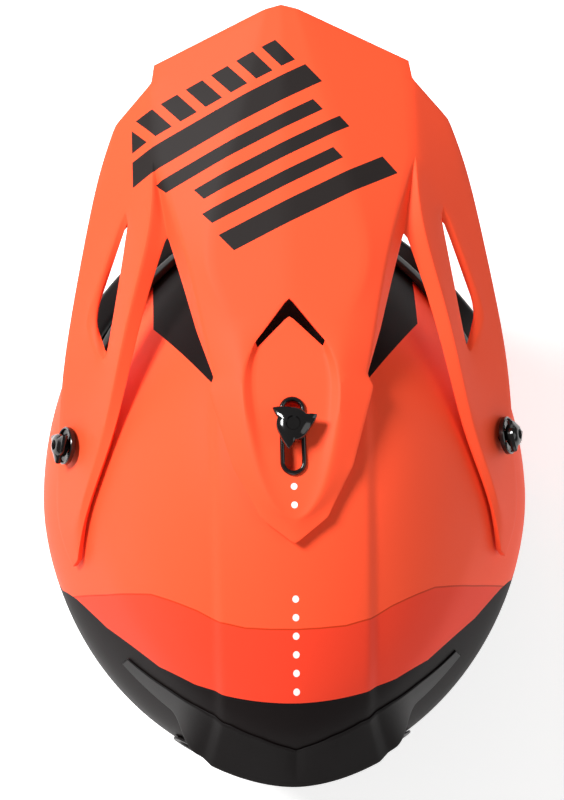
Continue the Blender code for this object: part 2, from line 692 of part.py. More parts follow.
PEAK_FACES = (
    "a0 a1 b1 b0", "a1 a3 b3 b1", "b0 b1 c1 c0", "b1 b3 c3 c1", "b3 c4 c3",
    "c0 c1 d1 d0", "c1 c3 d3 d1", "c3 c4 d4 d3",
    "d0 d1 e1 e0", "d1 d3 e2 e1", "d3 ex e2", "d3 e3 ex", "d3 d4 v0", "d3 v0 e3", "d4 e4 v0",
    "e0 e1 f1 f0", "e1 e2 f2 f1", "e2 ex fx f2",
    "f0 f1 n1 h0", "f1 f2 t1 n1", "f2 fx tx t1", "h0 n1 h1", "h1 n1 q1", "n1 t1 t2 q1",
    "t1 tx t2", "h1 q1 p1 k1", "k0 k1 p1 g1",
    "q1 t2 u2", "q1 u2 t3 q2", "p1 q1 q2 p2", "g1 p1 p2 g2",
    "q2 t3 t4 q3", "p2 q2 q3 p3", "g2 p2 p3 g3",
    "q3 t4 t5 q4", "p3 q3 q4 p4", "g3 p3 p4 g4",
    "q4 t5 t6 g5", "p4 q4 g5", "g4 p4 g5", "g5 t6 g6",
    "v0 e4 w1 vo", "vo w1 w2 vb", "e3 v0 vi r1", "r1 vi vb r2", "ex e3 r1 i1", "i1 r1 r2 i2",
    "i2 r2 r3 i3", "r2 vb m3 r3", "vb w2 w3 m3",
    "i3 r3 r4 i4", "r3 m3 m4 r4", "m3 w3 w4 m4",
    "i4 r4 r5 i5", "r4 m4 m5 r5", "m4 w4 w5 m5",
    "i5 r5 m5 i6", "m5 w5 w6 i6",
)

# Lines that stay crisp when the surface is smoothed.
PEAK_CREASES = (
    "a0 a1 a3 b3 c4 d4 e4 w1 w2 w3", "b3 c3 d3 e2 f2 t1 t2", "d3 e3 r1 r2 r3 r4 r5",
    "a1 b1 c1 d1 e1 f1 n1", "a0 b0 c0 d0 e0 f0 h0", "h0 h1 q1 q2 q3 q4 g5",
    "k0 k1 p1 p2 p3 p4 g5", "d3 ex i1 i2 i3 i4 i5 i6", "v0 vi vb vo v0", "ex fx tx t2",
    "t2 u2 t3 t4 t5 t6 g6", "h1 k1",
)


def peak_surface():
    """Both halves of the peak's outer surface as one mesh."""
    points = peak_points()
    bm = bmesh.new()
    crease = bm.edges.layers.float.new("crease_edge")
    halves = []
    for side in (1, -1):
        verts = {}
        for name, (x, y, z) in points.items():
            verts[name] = halves[0][name] if side < 0 and x == 0.0 else bm.verts.new((x * side, y, z))
        halves.append(verts)
    for side, verts in zip((1, -1), halves):
        for line in PEAK_FACES:
            face = [verts[name] for name in line.split()]
            bm.faces.new(face if side > 0 else face[::-1])
        for line in PEAK_CREASES:
            names = line.split()
            for first, second in zip(names, names[1:]):
                edge = bm.edges.get((verts[first], verts[second]))
                if edge:
                    edge[crease] = 0.8
    bmesh.ops.recalc_face_normals(bm, faces=bm.faces)
    if sum(face.normal.z for face in bm.faces) < 0:
        bmesh.ops.reverse_faces(bm, faces=bm.faces)
    return bm


def stadium(t, length, width):
    """A point and outward direction on a slot's outline, long side along Y."""
    straight = (length - width) / 2
    x, y = math.cos(t), math.sin(t)
    return Vector((x * width / 2, y * width / 2 + math.copysign(straight, y), 0.0)), Vector((x, y, 0.0))


def floor_height(y):
    """Height of the scoop's floor along the middle."""
    return along_line([peak_points()[name][1:] for name in ("k0", "g1", "g2", "g3", "g4")], y)


def build_peak(hinge):
    bm = peak_surface()
    bmesh.ops.transform(bm, matrix=Matrix.Translation(-Vector((0.0, HINGE_Y, HINGE_Z))), verts=bm.verts)
    bmesh.ops.transform(bm, matrix=Matrix.Scale(MM, 4), verts=bm.verts)
    mesh = bpy.data.meshes.new("peak")
    bm.to_mesh(mesh)
    bm.free()
    mesh.materials.append(make_material("peak", ORANGE, 0.4))
    peak = bpy.data.objects.new("peak", mesh)
    bpy.context.scene.collection.objects.link(peak)
    peak.parent = hinge
    smooth = peak.modifiers.new("smooth", "SUBSURF")
    smooth.levels = 1
    smooth.render_levels = 1
    wall = peak.modifiers.new("wall", "SOLIDIFY")
    wall.thickness = PEAK_WALL * MM
    wall.offset = -1.0
    wall.use_even_offset = True

    bm = bmesh.new()
    outline = [stadium(2 * math.pi * (k + 0.5) / 24, SLOT_LENGTH, SLOT_WIDTH) for k in range(24)]
    rings = []
    for z in (240.0, 300.0):
        rings.append(add_ring(bm, [(p.x + n.x * 1.0, p.y + n.y * 1.0 + SLOT_Y, z) for p, n in outline]))
    join_rings(bm, *rings)
    for ring in rings:
        bm.faces.new(ring)
    cut(peak, add_object("slot_cutter", bm))
    for name in ("side_left", "side_right"):
        hole = cylinder(SHAFT_HOLE_RADIUS, -2.0, 30.0, 16)
        bmesh.ops.transform(hole, matrix=SCREW_FRAMES[name], verts=hole.verts)
        cut(peak, add_object(name + "_arm_hole", hole))
    return peak


def build_slot_bezel(hinge):
    """A glossy grommet: a flange on the scoop's floor and a collar through the slot."""
    count = 24
    frames = []
    for k in range(count):
        p, n = stadium(2 * math.pi * (k + 0.5) / count, SLOT_LENGTH, SLOT_WIDTH)
        y = p.y + SLOT_Y
        frames.append((Vector((p.x, y, floor_height(y) + SEAT_GAP)), n, Vector((0, 0, 1))))
    section = ((0.0, 1.3), (SLOT_RIM, 1.3), (SLOT_RIM, 0.0), (0.65, 0.0), (0.65, -3.0), (0.0, -3.0))
    origin = (0.0, HINGE_Y, HINGE_Z)
    add_object("peak_slot_bezel", sweep_ring(frames, section), (GLOSS_BLACK, 0.15), origin, hinge)


# ---- thumb screws ----
def screw_frame(point, direction):
    """Places a screw: +Z of its own frame runs out along its axis."""
    turn = Vector((0, 0, 1)).rotation_difference(Vector(direction)).to_matrix().to_4x4()
    return Matrix.Translation(point) @ turn


def arm_face(side):
    """Where a side screw's axis meets the skin beside the hinge."""
    return Vector((side * side_x(HINGE_Y, HINGE_Z), HINGE_Y, HINGE_Z))


def screw_frames():
    frames = {"centre": screw_frame(Vector((0.0, CENTRE_SCREW_Y, SHELL_HEIGHT)), (0, 0, 1))}
    for side, word in ((1, "left"), (-1, "right")):
        direction = (side * math.cos(SIDE_SCREW_LEAN), 0.0, math.sin(SIDE_SCREW_LEAN))
        frames["side_" + word] = screw_frame(arm_face(side), direction)
    return frames


SCREW_FRAMES = screw_frames()
CENTRE_SEAT = PEAK_TIP_Z - SCOOP_DEPTH + KNOB_LIFT - SHELL_HEIGHT


def knob_solid(hub, wing, seat, reach, wings=3, phase=0.0):
    """A wing knob with its shaft: rings of points around the axis, closed at both ends."""
    segments = 24

    def radius(t, share):
        lobe = max(0.0, math.cos(wings * (t - phase))) ** 1.3
        return hub + (wing - hub) * lobe * share

    rows = ((SHAFT_RADIUS, -reach, 0), (SHAFT_RADIUS, seat, 0), (hub, seat, 0), (hub, seat + 1.6, 0),
            (hub, seat + 1.8, 1), (hub, seat + KNOB_THICKNESS, 1), (hub * 0.72, seat + KNOB_THICKNESS + 1.2, 0))
    bm = bmesh.new()
    rings = []
    for base, z, share in rows:
        points = []
        for k in range(segments):
            t = 2 * math.pi * k / segments
            r = radius(t, share) if share else base
            points.append((r * math.cos(t), r * math.sin(t), z))
        rings.append(add_ring(bm, points))
    for lower, upper in zip(rings, rings[1:]):
        join_rings(bm, lower, upper)
    fan(bm, rings[0], bm.verts.new((0, 0, -reach)))
    fan(bm, rings[-1], bm.verts.new((0, 0, seat + KNOB_THICKNESS + 1.4)))
    return bm


def place_on_axis(name, bm, look, frame, parent=None):
    """An object whose origin and turn are its axis."""
    obj = add_object(name, bm, look)
    if parent:
        obj.parent = parent
        obj.matrix_parent_inverse = Matrix.Translation(-parent.location)
    location, rotation, _ = frame.decompose()
    obj.location = (location + HEAD_AXIS) * MM
    obj.rotation_mode = "QUATERNION"
    obj.rotation_quaternion = rotation
    return obj


def build_screws(hinge):
    for word in ("centre", "side_left", "side_right"):
        frame = SCREW_FRAMES[word]
        if word == "centre":
            bm = knob_solid(KNOB_HUB, KNOB_WING, CENTRE_SEAT, 5.0, phase=math.radians(76.0))
        else:
            bm = knob_solid(KNOB_HUB, SIDE_KNOB_RADIUS, SIDE_SEAT, 5.0, phase=math.radians(20.0))
        place_on_axis(word + "_thumb_screw", bm, (GLOSS_BLACK, 0.15), frame)
        insert = bmesh.new()
        flange = -SHELL_WALL - SKIN_GAP
        rows = ((INSERT_RADIUS, -0.3), (INSERT_RADIUS, flange + 0.4), (INSERT_RADIUS + 2.4, flange),
                (INSERT_RADIUS + 2.4, flange - 1.6), (SHAFT_RADIUS + 0.3, flange - 1.6),
                (SHAFT_RADIUS + 0.3, -0.3))
        rings = [add_ring(insert, circle_points(radius, z, 14)) for radius, z in rows]
        for first, second in zip(rings, rings[1:] + rings[:1]):
            join_rings(insert, first, second)
        place_on_axis(word + "_thread_insert", insert, (BRASS, 0.35, 1.0), frame)
        if word != "centre":
            washer = bmesh.new()
            top = SIDE_SEAT - WASHER_GAP
            rows = ((SHAFT_HOLE_RADIUS, top - WASHER_WALL), (WASHER_RADIUS, top - WASHER_WALL),
                    (WASHER_RADIUS, top), (SHAFT_HOLE_RADIUS, top))
            rings = [add_ring(washer, circle_points(radius, z, 16)) for radius, z in rows]
            for first, second in zip(rings, rings[1:] + rings[:1]):
                join_rings(washer, first, second)
            place_on_axis(word + "_washer", washer, (RUBBER, 0.6), frame, hinge)


# ---- chin strap ----
def d_ring(bar, end):
    """A D-shaped wire ring: its straight bar at one (x, z) spot, its bow reaching to another."""
    start, reach = Vector((bar[0], 0.0, bar[1])), Vector((end[0] - bar[0], 0.0, end[1] - bar[1]))
    length = reach.length
    along = reach / length
    up = along.cross(Vector((0, 1, 0)))
    half = STRAP_WIDTH / 2 + RING_WIRE + 0.7
    bow = length - 9.0
    outline = [(0.0, -half), (0.0, 0.0), (0.0, half), (bow * 0.5, half)]
    outline += [(bow + 9.0 * math.cos(t), half * math.sin(t))
                for t in [math.pi / 2 - math.pi * k / 10 for k in range(11)]]
    outline += [(bow * 0.5, -half)]
    places = [start + along * u + Vector((0, STRAP_Y + v, 0)) for u, v in outline]
    section = [(RING_WIRE * math.cos(t), RING_WIRE * math.sin(t))
               for t in [2 * math.pi * k / 8 for k in range(8)]]
    frames = []
    for k, place in enumerate(places):
        tangent = (places[(k + 1) % len(places)] - places[k - 1]).normalized()
        frames.append((place, tangent.cross(up).normalized(), up))
    return sweep_ring(frames, section)


def sleeve(path):
    """A padded tube around the webbing."""
    bm = bmesh.new()
    loops = []
    for i, (x, z) in enumerate(path):
        before, after = Vector(path[max(i - 1, 0)]), Vector(path[min(i + 1, len(path) - 1)])
        along = (after - before).normalized()
        across = Vector((-along.y, 0.0, along.x))
        pair = []
        for grow, thick in ((SLEEVE_WALL, SLEEVE_WALL), (0.0, 0.0)):
            half_y = STRAP_WIDTH / 2 + GAP + grow
            half_n = STRAP_THICKNESS / 2 + GAP + thick
            corners = ((half_y, half_n * 0.8), (half_y * 0.8, half_n), (-half_y * 0.8, half_n),
                       (-half_y, half_n * 0.8), (-half_y, -half_n * 0.8), (-half_y * 0.8, -half_n),
                       (half_y * 0.8, -half_n), (half_y, -half_n * 0.8))
            if not grow:
                corners = ((half_y, half_n), (0.0, half_n), (0.0, half_n), (-half_y, half_n),
                           (-half_y, -half_n), (0.0, -half_n), (0.0, -half_n), (half_y, -half_n))
            pair.append([Vector((x, STRAP_Y + v, z)) + across * n for v, n in corners])
        loops.append(pair)
    outer = [add_ring(bm, pair[0]) for pair in loops]
    inner = [add_ring(bm, pair[1]) for pair in loops]
    for rings in (outer, inner):
        for first, second in zip(rings, rings[1:]):
            join_rings(bm, first, second)
    join_rings(bm, outer[0], inner[0])
    join_rings(bm, outer[-1], inner[-1])
    return bm


def build_strap(hinge):
    """The fastened strap: a tab on each side, and a loop that swings between the tabs."""
    origin = (0.0, STRAP_Y, STRAP_HINGE_Z)
    webbing = (WEBBING, 0.85)
    for side, word in ((1, "left"), (-1, "right")):
        anchor_z = STRAP_HINGE_Z + 14.0
        wall_x = side_x(STRAP_Y + STRAP_WIDTH / 2, anchor_z) - SHELL_WALL - 5.0
        path = smooth_path([(side * wall_x, anchor_z + 9.0), (side * wall_x, anchor_z - 2.0),
                            (side * (wall_x - 8.0), anchor_z - 10.0),
                            (side * (STRAP_HINGE_X + 1.5), STRAP_HINGE_Z + 1.0)], 3)
        add_object("strap_tab_" + word, ribbon(path, STRAP_WIDTH, STRAP_THICKNESS, STRAP_Y), webbing)
        rivet = cylinder(5.0, 1.3, 2.8, 16)
        turn = screw_frame(Vector((side * wall_x, STRAP_Y, anchor_z + 4.0)), (-side, 0, 0))
        bmesh.ops.transform(rivet, matrix=turn, verts=rivet.verts)
        add_object("strap_rivet_" + word, rivet, (STEEL, 0.35, 1.0))

    low = STRAP_LOW_Z
    right_path = smooth_path([(-STRAP_HINGE_X, STRAP_HINGE_Z), (-56.0, 38.0), (-38.0, low + 10.0),
                              (-12.0, low + 1.5), (8.0, low + 2.0), (20.0, low + 7.5), (27.3, low + 16.0),
                              (28.5, low + 24.0), (25.5, low + 29.5), (19.0, low + 28.8), (11.0, low + 22.0),
                              (3.0, low + 12.5), (-8.0, low + 6.0), (-22.0, low + 7.6)], 4)
    long_strap = ribbon(right_path, STRAP_WIDTH, STRAP_THICKNESS, STRAP_Y)
    add_object("strap_long", long_strap, webbing, origin, hinge)
    left_path = smooth_path([(STRAP_HINGE_X, STRAP_HINGE_Z), (61.0, 44.0), (52.0, 34.5), (43.5, 30.4),
                             (37.6, 30.6), (33.6, 36.4), (37.6, 42.2), (44.0, 42.0), (49.0, 43.4),
                             (53.5, 47.0)], 4)
    short_strap = ribbon(left_path, STRAP_WIDTH, STRAP_THICKNESS, STRAP_Y)
    add_object("strap_short", short_strap, webbing, origin, hinge)
    add_object("strap_sleeve_right", sleeve(right_path[2:9]), (FABRIC, 0.95), origin, hinge)
    add_object("strap_sleeve_left", sleeve(left_path[2:6]), (FABRIC, 0.95), origin, hinge)
    for word, bar, end in (("inner", (38.6, 34.3), (18.0, 24.3)), ("outer", (38.9, 38.6), (18.0, 31.6))):
        add_object("d_ring_" + word, d_ring(bar, end), (STEEL, 0.25, 1.0), origin, hinge)
    snap = cylinder(4.5, low + 8.9, low + 10.9, 16)
    bmesh.ops.translate(snap, vec=(-16.0, STRAP_Y, 0.0), verts=snap.verts)
    add_object("strap_snap", snap, (GLOSS_BLACK, 0.4), origin, hinge)


def main():
    clear_scene()
    peak_hinge = add_empty("peak_hinge", (0.0, HINGE_Y, HINGE_Z))
    strap_hinge = add_empty("strap_hinge", (0.0, STRAP_Y, STRAP_HINGE_Z))
    build_shell()
    build_liners()
    build_pads()
    build_edgings()
    build_vents()
    build_spoiler()
    build_peak(peak_hinge)
    build_slot_bezel(peak_hinge)
    build_screws(peak_hinge)
    build_strap(strap_hinge)


main()
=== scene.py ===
# %% [markdown]
# # Motocross helmet
# This script dresses a finished CAD model of an off-road helmet: a moulded shell with a wide eye
# port, a long peak held by thumb screws, foam and cloth inside, and a chin strap with two rings.
# The CAD model comes in as a fixed frame, and every visible piece made here rides on one of its
# bodies. Sizes below are in millimetres, and become metres when a mesh is made.

# %% Load the frame
import json
import math

import bmesh
import bpy
from mathutils import Matrix, Vector

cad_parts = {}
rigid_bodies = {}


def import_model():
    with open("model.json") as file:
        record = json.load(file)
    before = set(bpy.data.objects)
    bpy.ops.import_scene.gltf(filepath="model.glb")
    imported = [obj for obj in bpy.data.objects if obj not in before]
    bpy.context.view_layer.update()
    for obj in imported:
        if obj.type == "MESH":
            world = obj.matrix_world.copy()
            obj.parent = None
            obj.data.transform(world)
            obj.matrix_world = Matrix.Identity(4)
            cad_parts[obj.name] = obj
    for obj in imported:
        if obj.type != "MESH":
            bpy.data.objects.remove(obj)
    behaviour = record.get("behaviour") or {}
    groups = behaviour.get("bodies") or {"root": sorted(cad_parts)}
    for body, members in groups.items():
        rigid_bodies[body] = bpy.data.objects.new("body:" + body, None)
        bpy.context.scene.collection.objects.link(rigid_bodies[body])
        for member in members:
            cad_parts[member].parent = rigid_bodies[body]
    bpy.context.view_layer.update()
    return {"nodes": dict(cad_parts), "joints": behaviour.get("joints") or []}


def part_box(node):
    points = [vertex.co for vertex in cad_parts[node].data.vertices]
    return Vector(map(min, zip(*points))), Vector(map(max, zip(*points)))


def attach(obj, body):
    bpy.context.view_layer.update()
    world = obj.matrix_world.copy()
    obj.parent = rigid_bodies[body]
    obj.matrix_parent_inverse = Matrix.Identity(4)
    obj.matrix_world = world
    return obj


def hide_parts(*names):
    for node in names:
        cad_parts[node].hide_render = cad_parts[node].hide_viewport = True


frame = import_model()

NODES = frame["nodes"]
JOINTS = {joint["name"]: joint for joint in frame["joints"]}
MM = 0.001
HEAD = Vector((0.0, 4.5, 0.0))          # from the frame's origin to the head's axis
SPOTS = {name: (Vector(joint["pos_m"]) / MM - HEAD, joint["axis"]) for name, joint in JOINTS.items()}

# %% [markdown]
# ## Materials: small helpers
# A material is a graph of nodes. Colours are given as sRGB hex values, while the renderer
# works in linear light, so one function converts them. Another adds a node, fills in its settings
# and its inputs, and hands back its first output, so that a whole pattern reads as a short list.


# %% Colour and node helpers
def colour(code):
    """An sRGB hex code as linear RGBA."""
    parts = [int(code[i:i + 2], 16) / 255 for i in (1, 3, 5)]
    return tuple(c / 12.92 if c < 0.04045 else ((c + 0.055) / 1.055) ** 2.4 for c in parts) + (1.0,)


def add(tree, kind, inputs=None, output=0, **settings):
    """Adds a node; an input's value is a number, a colour or another node's output."""
    node = tree.nodes.new("ShaderNode" + kind)
    for key, value in settings.items():
        setattr(node, key, value)
    for key, value in (inputs or {}).items():
        if isinstance(value, bpy.types.NodeSocket):
            tree.links.new(value, node.inputs[key])
        else:
            node.inputs[key].default_value = value
    return node.outputs[output]


def sums(tree, operation, *values):
    """One Math node."""
    return add(tree, "Math", dict(enumerate(values)), operation=operation)


def new_material(name, roughness, base="#808080", metallic=0.0, ior=1.5, **extra):
    """A material with its uniform numbers set straight on the shader."""
    material = bpy.data.materials.new(name)
    material.use_nodes = True
    shader = material.node_tree.nodes["Principled BSDF"]
    values = {"Base Color": colour(base), "Roughness": roughness, "Metallic": metallic, "IOR": ior, **extra}
    for key, value in values.items():
        shader.inputs[key].default_value = value
    return material, material.node_tree, shader


def bump(tree, shader, height, depth_mm, strength=1.0):
    """Sends a 0 to 1 height into the shader as relief of a real depth."""
    normal = add(tree, "Bump", {"Height": height, "Distance": depth_mm * MM, "Strength": strength})
    tree.links.new(normal, shader.inputs["Normal"])


def spread(tree, value, low, high):
    """Maps 0 to 1 onto a range."""
    return add(tree, "MapRange", {"Value": value, "To Min": low, "To Max": high})


print("helpers ready")

# %% [markdown]
# ## Painted pieces
# The shell and the peak are sprayed with a satin orange lacquer. Over it lie printed graphics:
# a black forehead, a black back, a line of small white dots and, on the peak, a generic block of
# slanted stripes. Behind a bent line over the back the orange is painted darker, with a thin dark
# stripe along the line: painted shade for a soft crease where the back turns steeper. Each is a
# rule on the piece's own coordinates, because a rule stays sharp at every distance, while a
# painted mesh needs very small faces.
# Satin lacquer scatters light softly and carries a very fine orange-peel ripple.

# %% Masks for printed shapes
# The second orange is painted shade: a darker tone for the steeper back behind a soft crease.
ORANGE, SHADED_ORANGE = "#FF5430", "#F04026"
INK = "#130D0D"
PEEL_MM = 1.6
OUTSIDE_SHARE = 0.6          # of the shell's UV map; the rest is its bare inside


def plan(tree):
    """Millimetres from the head's axis: x, y, z and the distance from the middle plane."""
    place = add(tree, "TexCoord", output=3)
    x, y, z = [sums(tree, "MULTIPLY_ADD", add(tree, "SeparateXYZ", {0: place}, output=i), 1000.0, -HEAD[i])
               for i in range(3)]
    return x, y, z, sums(tree, "ABSOLUTE", x)


def line_height(tree, across, points):
    """A bent line as a curve node: for each distance from the middle, its y in millimetres."""
    low = min(p[1] for p in points) - 10.0
    high = max(p[1] for p in points) + 10.0
    reach = points[-1][0]
    node = tree.nodes.new("ShaderNodeFloatCurve")
    curve = node.mapping.curves[0]
    shares = [(x / reach, (y - low) / (high - low)) for x, y in points]
    curve.points[0].location, curve.points[1].location = shares[0], shares[-1]
    for share in shares[1:-1]:
        curve.points.new(*share)
    for point in curve.points:
        point.handle_type = "VECTOR"
    node.mapping.update()
    tree.links.new(sums(tree, "DIVIDE", across, reach), node.inputs["Value"])
    return add(tree, "MapRange", {"Value": node.outputs[0], "To Min": low, "To Max": high})


def every(tree, *masks):
    """1 where all the masks are 1."""
    whole = masks[0]
    for mask in masks[1:]:
        whole = sums(tree, "MULTIPLY", whole, mask)
    return whole


def band(tree, value, low, high):
    """1 where the value lies between two bounds."""
    offset = sums(tree, "ABSOLUTE", sums(tree, "SUBTRACT", value, (low + high) / 2))
    return sums(tree, "LESS_THAN", offset, (high - low) / 2)


def blend(tree, mask, first, second):
    """Second colour where the mask is 1."""
    return add(tree, "Mix", {0: mask, 6: first, 7: second}, output=2, data_type="RGBA")


def dots(tree, x, y, first, last, pitch, radius):
    """A row of round dots on the middle line: 1 inside a dot."""
    count = round((last - first) / pitch)
    along = sums(tree, "DIVIDE", sums(tree, "SUBTRACT", y, first - pitch / 2), pitch)
    inside = every(tree, sums(tree, "GREATER_THAN", along, 0.0),
                   sums(tree, "LESS_THAN", along, count + 1.0))
    offset = sums(tree, "MULTIPLY", sums(tree, "SUBTRACT", sums(tree, "FRACT", along), 0.5), pitch)
    distance = sums(tree, "SQRT", sums(tree, "ADD", sums(tree, "MULTIPLY", x, x),
                                       sums(tree, "MULTIPLY", offset, offset)))
    return sums(tree, "MULTIPLY", inside, sums(tree, "LESS_THAN", distance, radius))


def satin_lacquer(name):
    """Sprayed two-part lacquer: soft highlight, faint peel, a trace of tone variation."""
    material, tree, shader = new_material(name, 0.58, ior=1.5)
    place = add(tree, "TexCoord", output=3)
    peel = add(tree, "TexNoise", {"Vector": place, "Scale": 1000 / PEEL_MM, "Detail": 1.0})
    bump(tree, shader, peel, 0.02, 0.5)
    cloud = add(tree, "TexNoise", {"Vector": place, "Scale": 14.0, "Detail": 3.0})
    tree.links.new(spread(tree, cloud, 0.54, 0.62), shader.inputs["Roughness"])
    return material, tree, shader


print("lacquer with a", PEEL_MM, "mm peel")

# %% The shell's paint
SHELL_PAINT, tree, shader = satin_lacquer("satin lacquer on moulded shell")
x, y, z, across = plan(tree)
REAR_LINE = ((0, 146.0), (12, 145.2), (24, 143.0), (35, 137.2), (44, 130.5), (66, 117.0), (92, 93.5),
             (107, 76.5), (130, 54.0))
# The second line: behind it the orange is painted darker, as painted shade of the steeper back.
SHADE_LINE = ((0, 107.5), (12, 107.0), (24, 105.8), (36, 102.3), (47, 95.5), (59, 89.5), (69, 84.8),
             (90, 80.0), (108, 75.0), (130, 68.0))
SIDE_SLOPE, SIDE_START = 1.11, 56.0                     # the black sides climb towards the back
BROW_SLOPE, BROW_START, BROW_HALF, BROW_LOW = -1.3, 39.0, 65.0, 188.0
CHIN_SLOPE, CHIN_HALF, CHIN_BACK, CHIN_TOP = 0.45, 78.0, -90.0, 96.0
rear = sums(tree, "GREATER_THAN", y, line_height(tree, across, REAR_LINE))
low_side = sums(tree, "LESS_THAN", z, sums(tree, "MULTIPLY_ADD", y, SIDE_SLOPE, SIDE_START))
black = sums(tree, "MAXIMUM", rear, low_side)
before = sums(tree, "MINIMUM", sums(tree, "MULTIPLY_ADD", across, BROW_SLOPE, BROW_START), 0.0)
brow = every(tree, sums(tree, "LESS_THAN", y, before), sums(tree, "LESS_THAN", across, BROW_HALF),
             sums(tree, "GREATER_THAN", z, BROW_LOW))
chin = every(tree, sums(tree, "LESS_THAN", sums(tree, "MULTIPLY_ADD", z, CHIN_SLOPE, across), CHIN_HALF),
             sums(tree, "LESS_THAN", y, CHIN_BACK), sums(tree, "LESS_THAN", z, CHIN_TOP))
black = sums(tree, "MAXIMUM", sums(tree, "MAXIMUM", black, brow), chin)
up_the_wall = add(tree, "SeparateXYZ", {0: add(tree, "TexCoord", output=2)}, output=1)
black = sums(tree, "MAXIMUM", black, sums(tree, "GREATER_THAN", up_the_wall, OUTSIDE_SHARE))
# Painted shade: behind the line over the back the orange turns darker, for a soft crease where the back
# gets steeper.
shade_line_y = line_height(tree, across, SHADE_LINE)
painted_slope_shade = sums(tree, "GREATER_THAN", y, shade_line_y)
# Painted shade: a thin dark stripe along the crease line, where the back turns steeper.
edge = sums(tree, "LESS_THAN", sums(tree, "ABSOLUTE", sums(tree, "SUBTRACT", y, shade_line_y)), 0.35)
paint = blend(tree, painted_slope_shade, colour(ORANGE), colour(SHADED_ORANGE))
paint = blend(tree, edge, paint, colour("#C93410"))
paint = blend(tree, dots(tree, x, y, 94.0, 135.0, 8.2, 1.6), paint, colour("#F6EFEC"))
tree.links.new(blend(tree, black, paint, colour(INK)), shader.inputs["Base Color"])
tree.links.new(spread(tree, black, 0.14, 0.08), shader.inputs["Specular IOR Level"])
print("shell paint with", len(tree.nodes), "nodes")

# %% [markdown]
# The peak's graphic is a generic one: a row of slanted blocks over five staggered bars. Every
# bar is a box in a frame turned to the stripes' slant, and its ends are cut on a second slant.

# %% The peak's paint
PEAK_PAINT, tree, shader = satin_lacquer("satin lacquer on moulded peak")
x, y, z, across = plan(tree)
SLANT = math.radians(25.5)
LEAN = -0.32                 # how far a bar's end shifts for each millimetre down
BLOCK_PITCH, BLOCK_SHARE, INK_REACH = 13.5, 0.66, 73.0
left_x = sums(tree, "SUBTRACT", 12.0, x)
back_y = sums(tree, "ADD", y, 112.0)
along = sums(tree, "SUBTRACT", sums(tree, "MULTIPLY", left_x, math.cos(SLANT)),
             sums(tree, "MULTIPLY", back_y, math.sin(SLANT)))
down = sums(tree, "ADD", sums(tree, "MULTIPLY", left_x, math.sin(SLANT)),
            sums(tree, "MULTIPLY", back_y, math.cos(SLANT)))
sheared = sums(tree, "MULTIPLY_ADD", down, LEAN, along)
BARS = ((-31.0, -20.0, -54.0, 50.0), (-14.0, -7.5, -44.0, 40.0), (-1.5, 5.0, -34.0, 44.0),
        (11.0, 17.5, -40.0, 30.0), (24.0, 34.0, -42.0, 46.0))
ink = None
for top, bottom, start, end in BARS:
    bar = every(tree, band(tree, down, top, bottom), band(tree, sheared, start, end))
    ink = bar if ink is None else sums(tree, "MAXIMUM", ink, bar)
block = sums(tree, "FRACT", sums(tree, "DIVIDE", sheared, BLOCK_PITCH))
block = sums(tree, "LESS_THAN", block, BLOCK_SHARE)
row = every(tree, band(tree, down, -48.0, -35.0), band(tree, sheared, -60.0, 48.0), block)
ink = every(tree, sums(tree, "MAXIMUM", ink, row), sums(tree, "LESS_THAN", across, INK_REACH))
paint = blend(tree, dots(tree, x, y, 44.5, 53.0, 8.5, 1.55), colour(ORANGE), colour("#F6EFEC"))
tree.links.new(blend(tree, ink, paint, colour("#241F1E")), shader.inputs["Base Color"])
tree.links.new(spread(tree, ink, 0.14, 0.12), shader.inputs["Specular IOR Level"])
print("peak paint with", len(BARS), "bars")

# %% [markdown]
# ## Plastics, rubber, foam, cloth and metal
# The trim is injection-moulded ABS with a fine spark-eroded grain, the knobs are moulded gloss
# nylon, and the edgings are extruded rubber. The liner is expanded polystyrene: beads of 3 mm
# pressed together. The pads wear a brushed knit, the strap is a woven polyester webbing, and
# the rings are bright zinc-plated steel wire.


# %% Moulded plastics and rubber
def grained(name, base, roughness, grain_mm, depth_mm, **extra):
    """Moulded skin: a fine grain, and roughness that wanders a little."""
    material, tree, shader = new_material(name, roughness, base, **extra)
    place = add(tree, "TexCoord", output=3)
    grain = add(tree, "TexNoise", {"Vector": place, "Scale": 1000 / grain_mm, "Detail": 2.0})
    bump(tree, shader, grain, depth_mm)
    cloud = add(tree, "TexNoise", {"Vector": place, "Scale": 25.0, "Detail": 3.0})
    tree.links.new(spread(tree, cloud, roughness - 0.06, roughness + 0.06), shader.inputs["Roughness"])
    tone = blend(tree, spread(tree, cloud, 0.0, 0.3), colour(base), colour("#201D1D"))
    tree.links.new(tone, shader.inputs["Base Color"])
    return material


SATIN_ABS = grained("moulded ABS with spark-eroded grain", "#120F0F", 0.45, 0.9, 0.02,
                    **{"Specular IOR Level": 0.14})
GLOSS_NYLON = grained("moulded gloss nylon", "#080707", 0.14, 3.0, 0.01, ior=1.53)
RUBBER = grained("extruded EPDM rubber", "#141212", 0.52, 1.2, 0.03, ior=1.52,
                 **{"Specular IOR Level": 0.3})
SOFT_RUBBER = grained("moulded soft rubber", "#201E1E", 0.62, 1.4, 0.04, ior=1.52)
print("four moulded finishes")

# %% Foams
BEAD_MM = 3.4


def bead_foam(name, base):
    """Expanded bead foam: pressed beads with fine dark joints between them."""
    material, tree, shader = new_material(name, 0.85, base)
    place = add(tree, "TexCoord", output=3)
    joint = add(tree, "TexVoronoi", {"Vector": place, "Scale": 1000 / BEAD_MM}, feature="DISTANCE_TO_EDGE")
    edge = add(tree, "MapRange", {"Value": joint, "From Max": 0.12})
    bump(tree, shader, edge, 0.25)
    tree.links.new(blend(tree, edge, colour("#141314"), colour(base)), shader.inputs["Base Color"])
    return material


BEAD_FOAM = bead_foam("expanded polystyrene beads", "#343235")


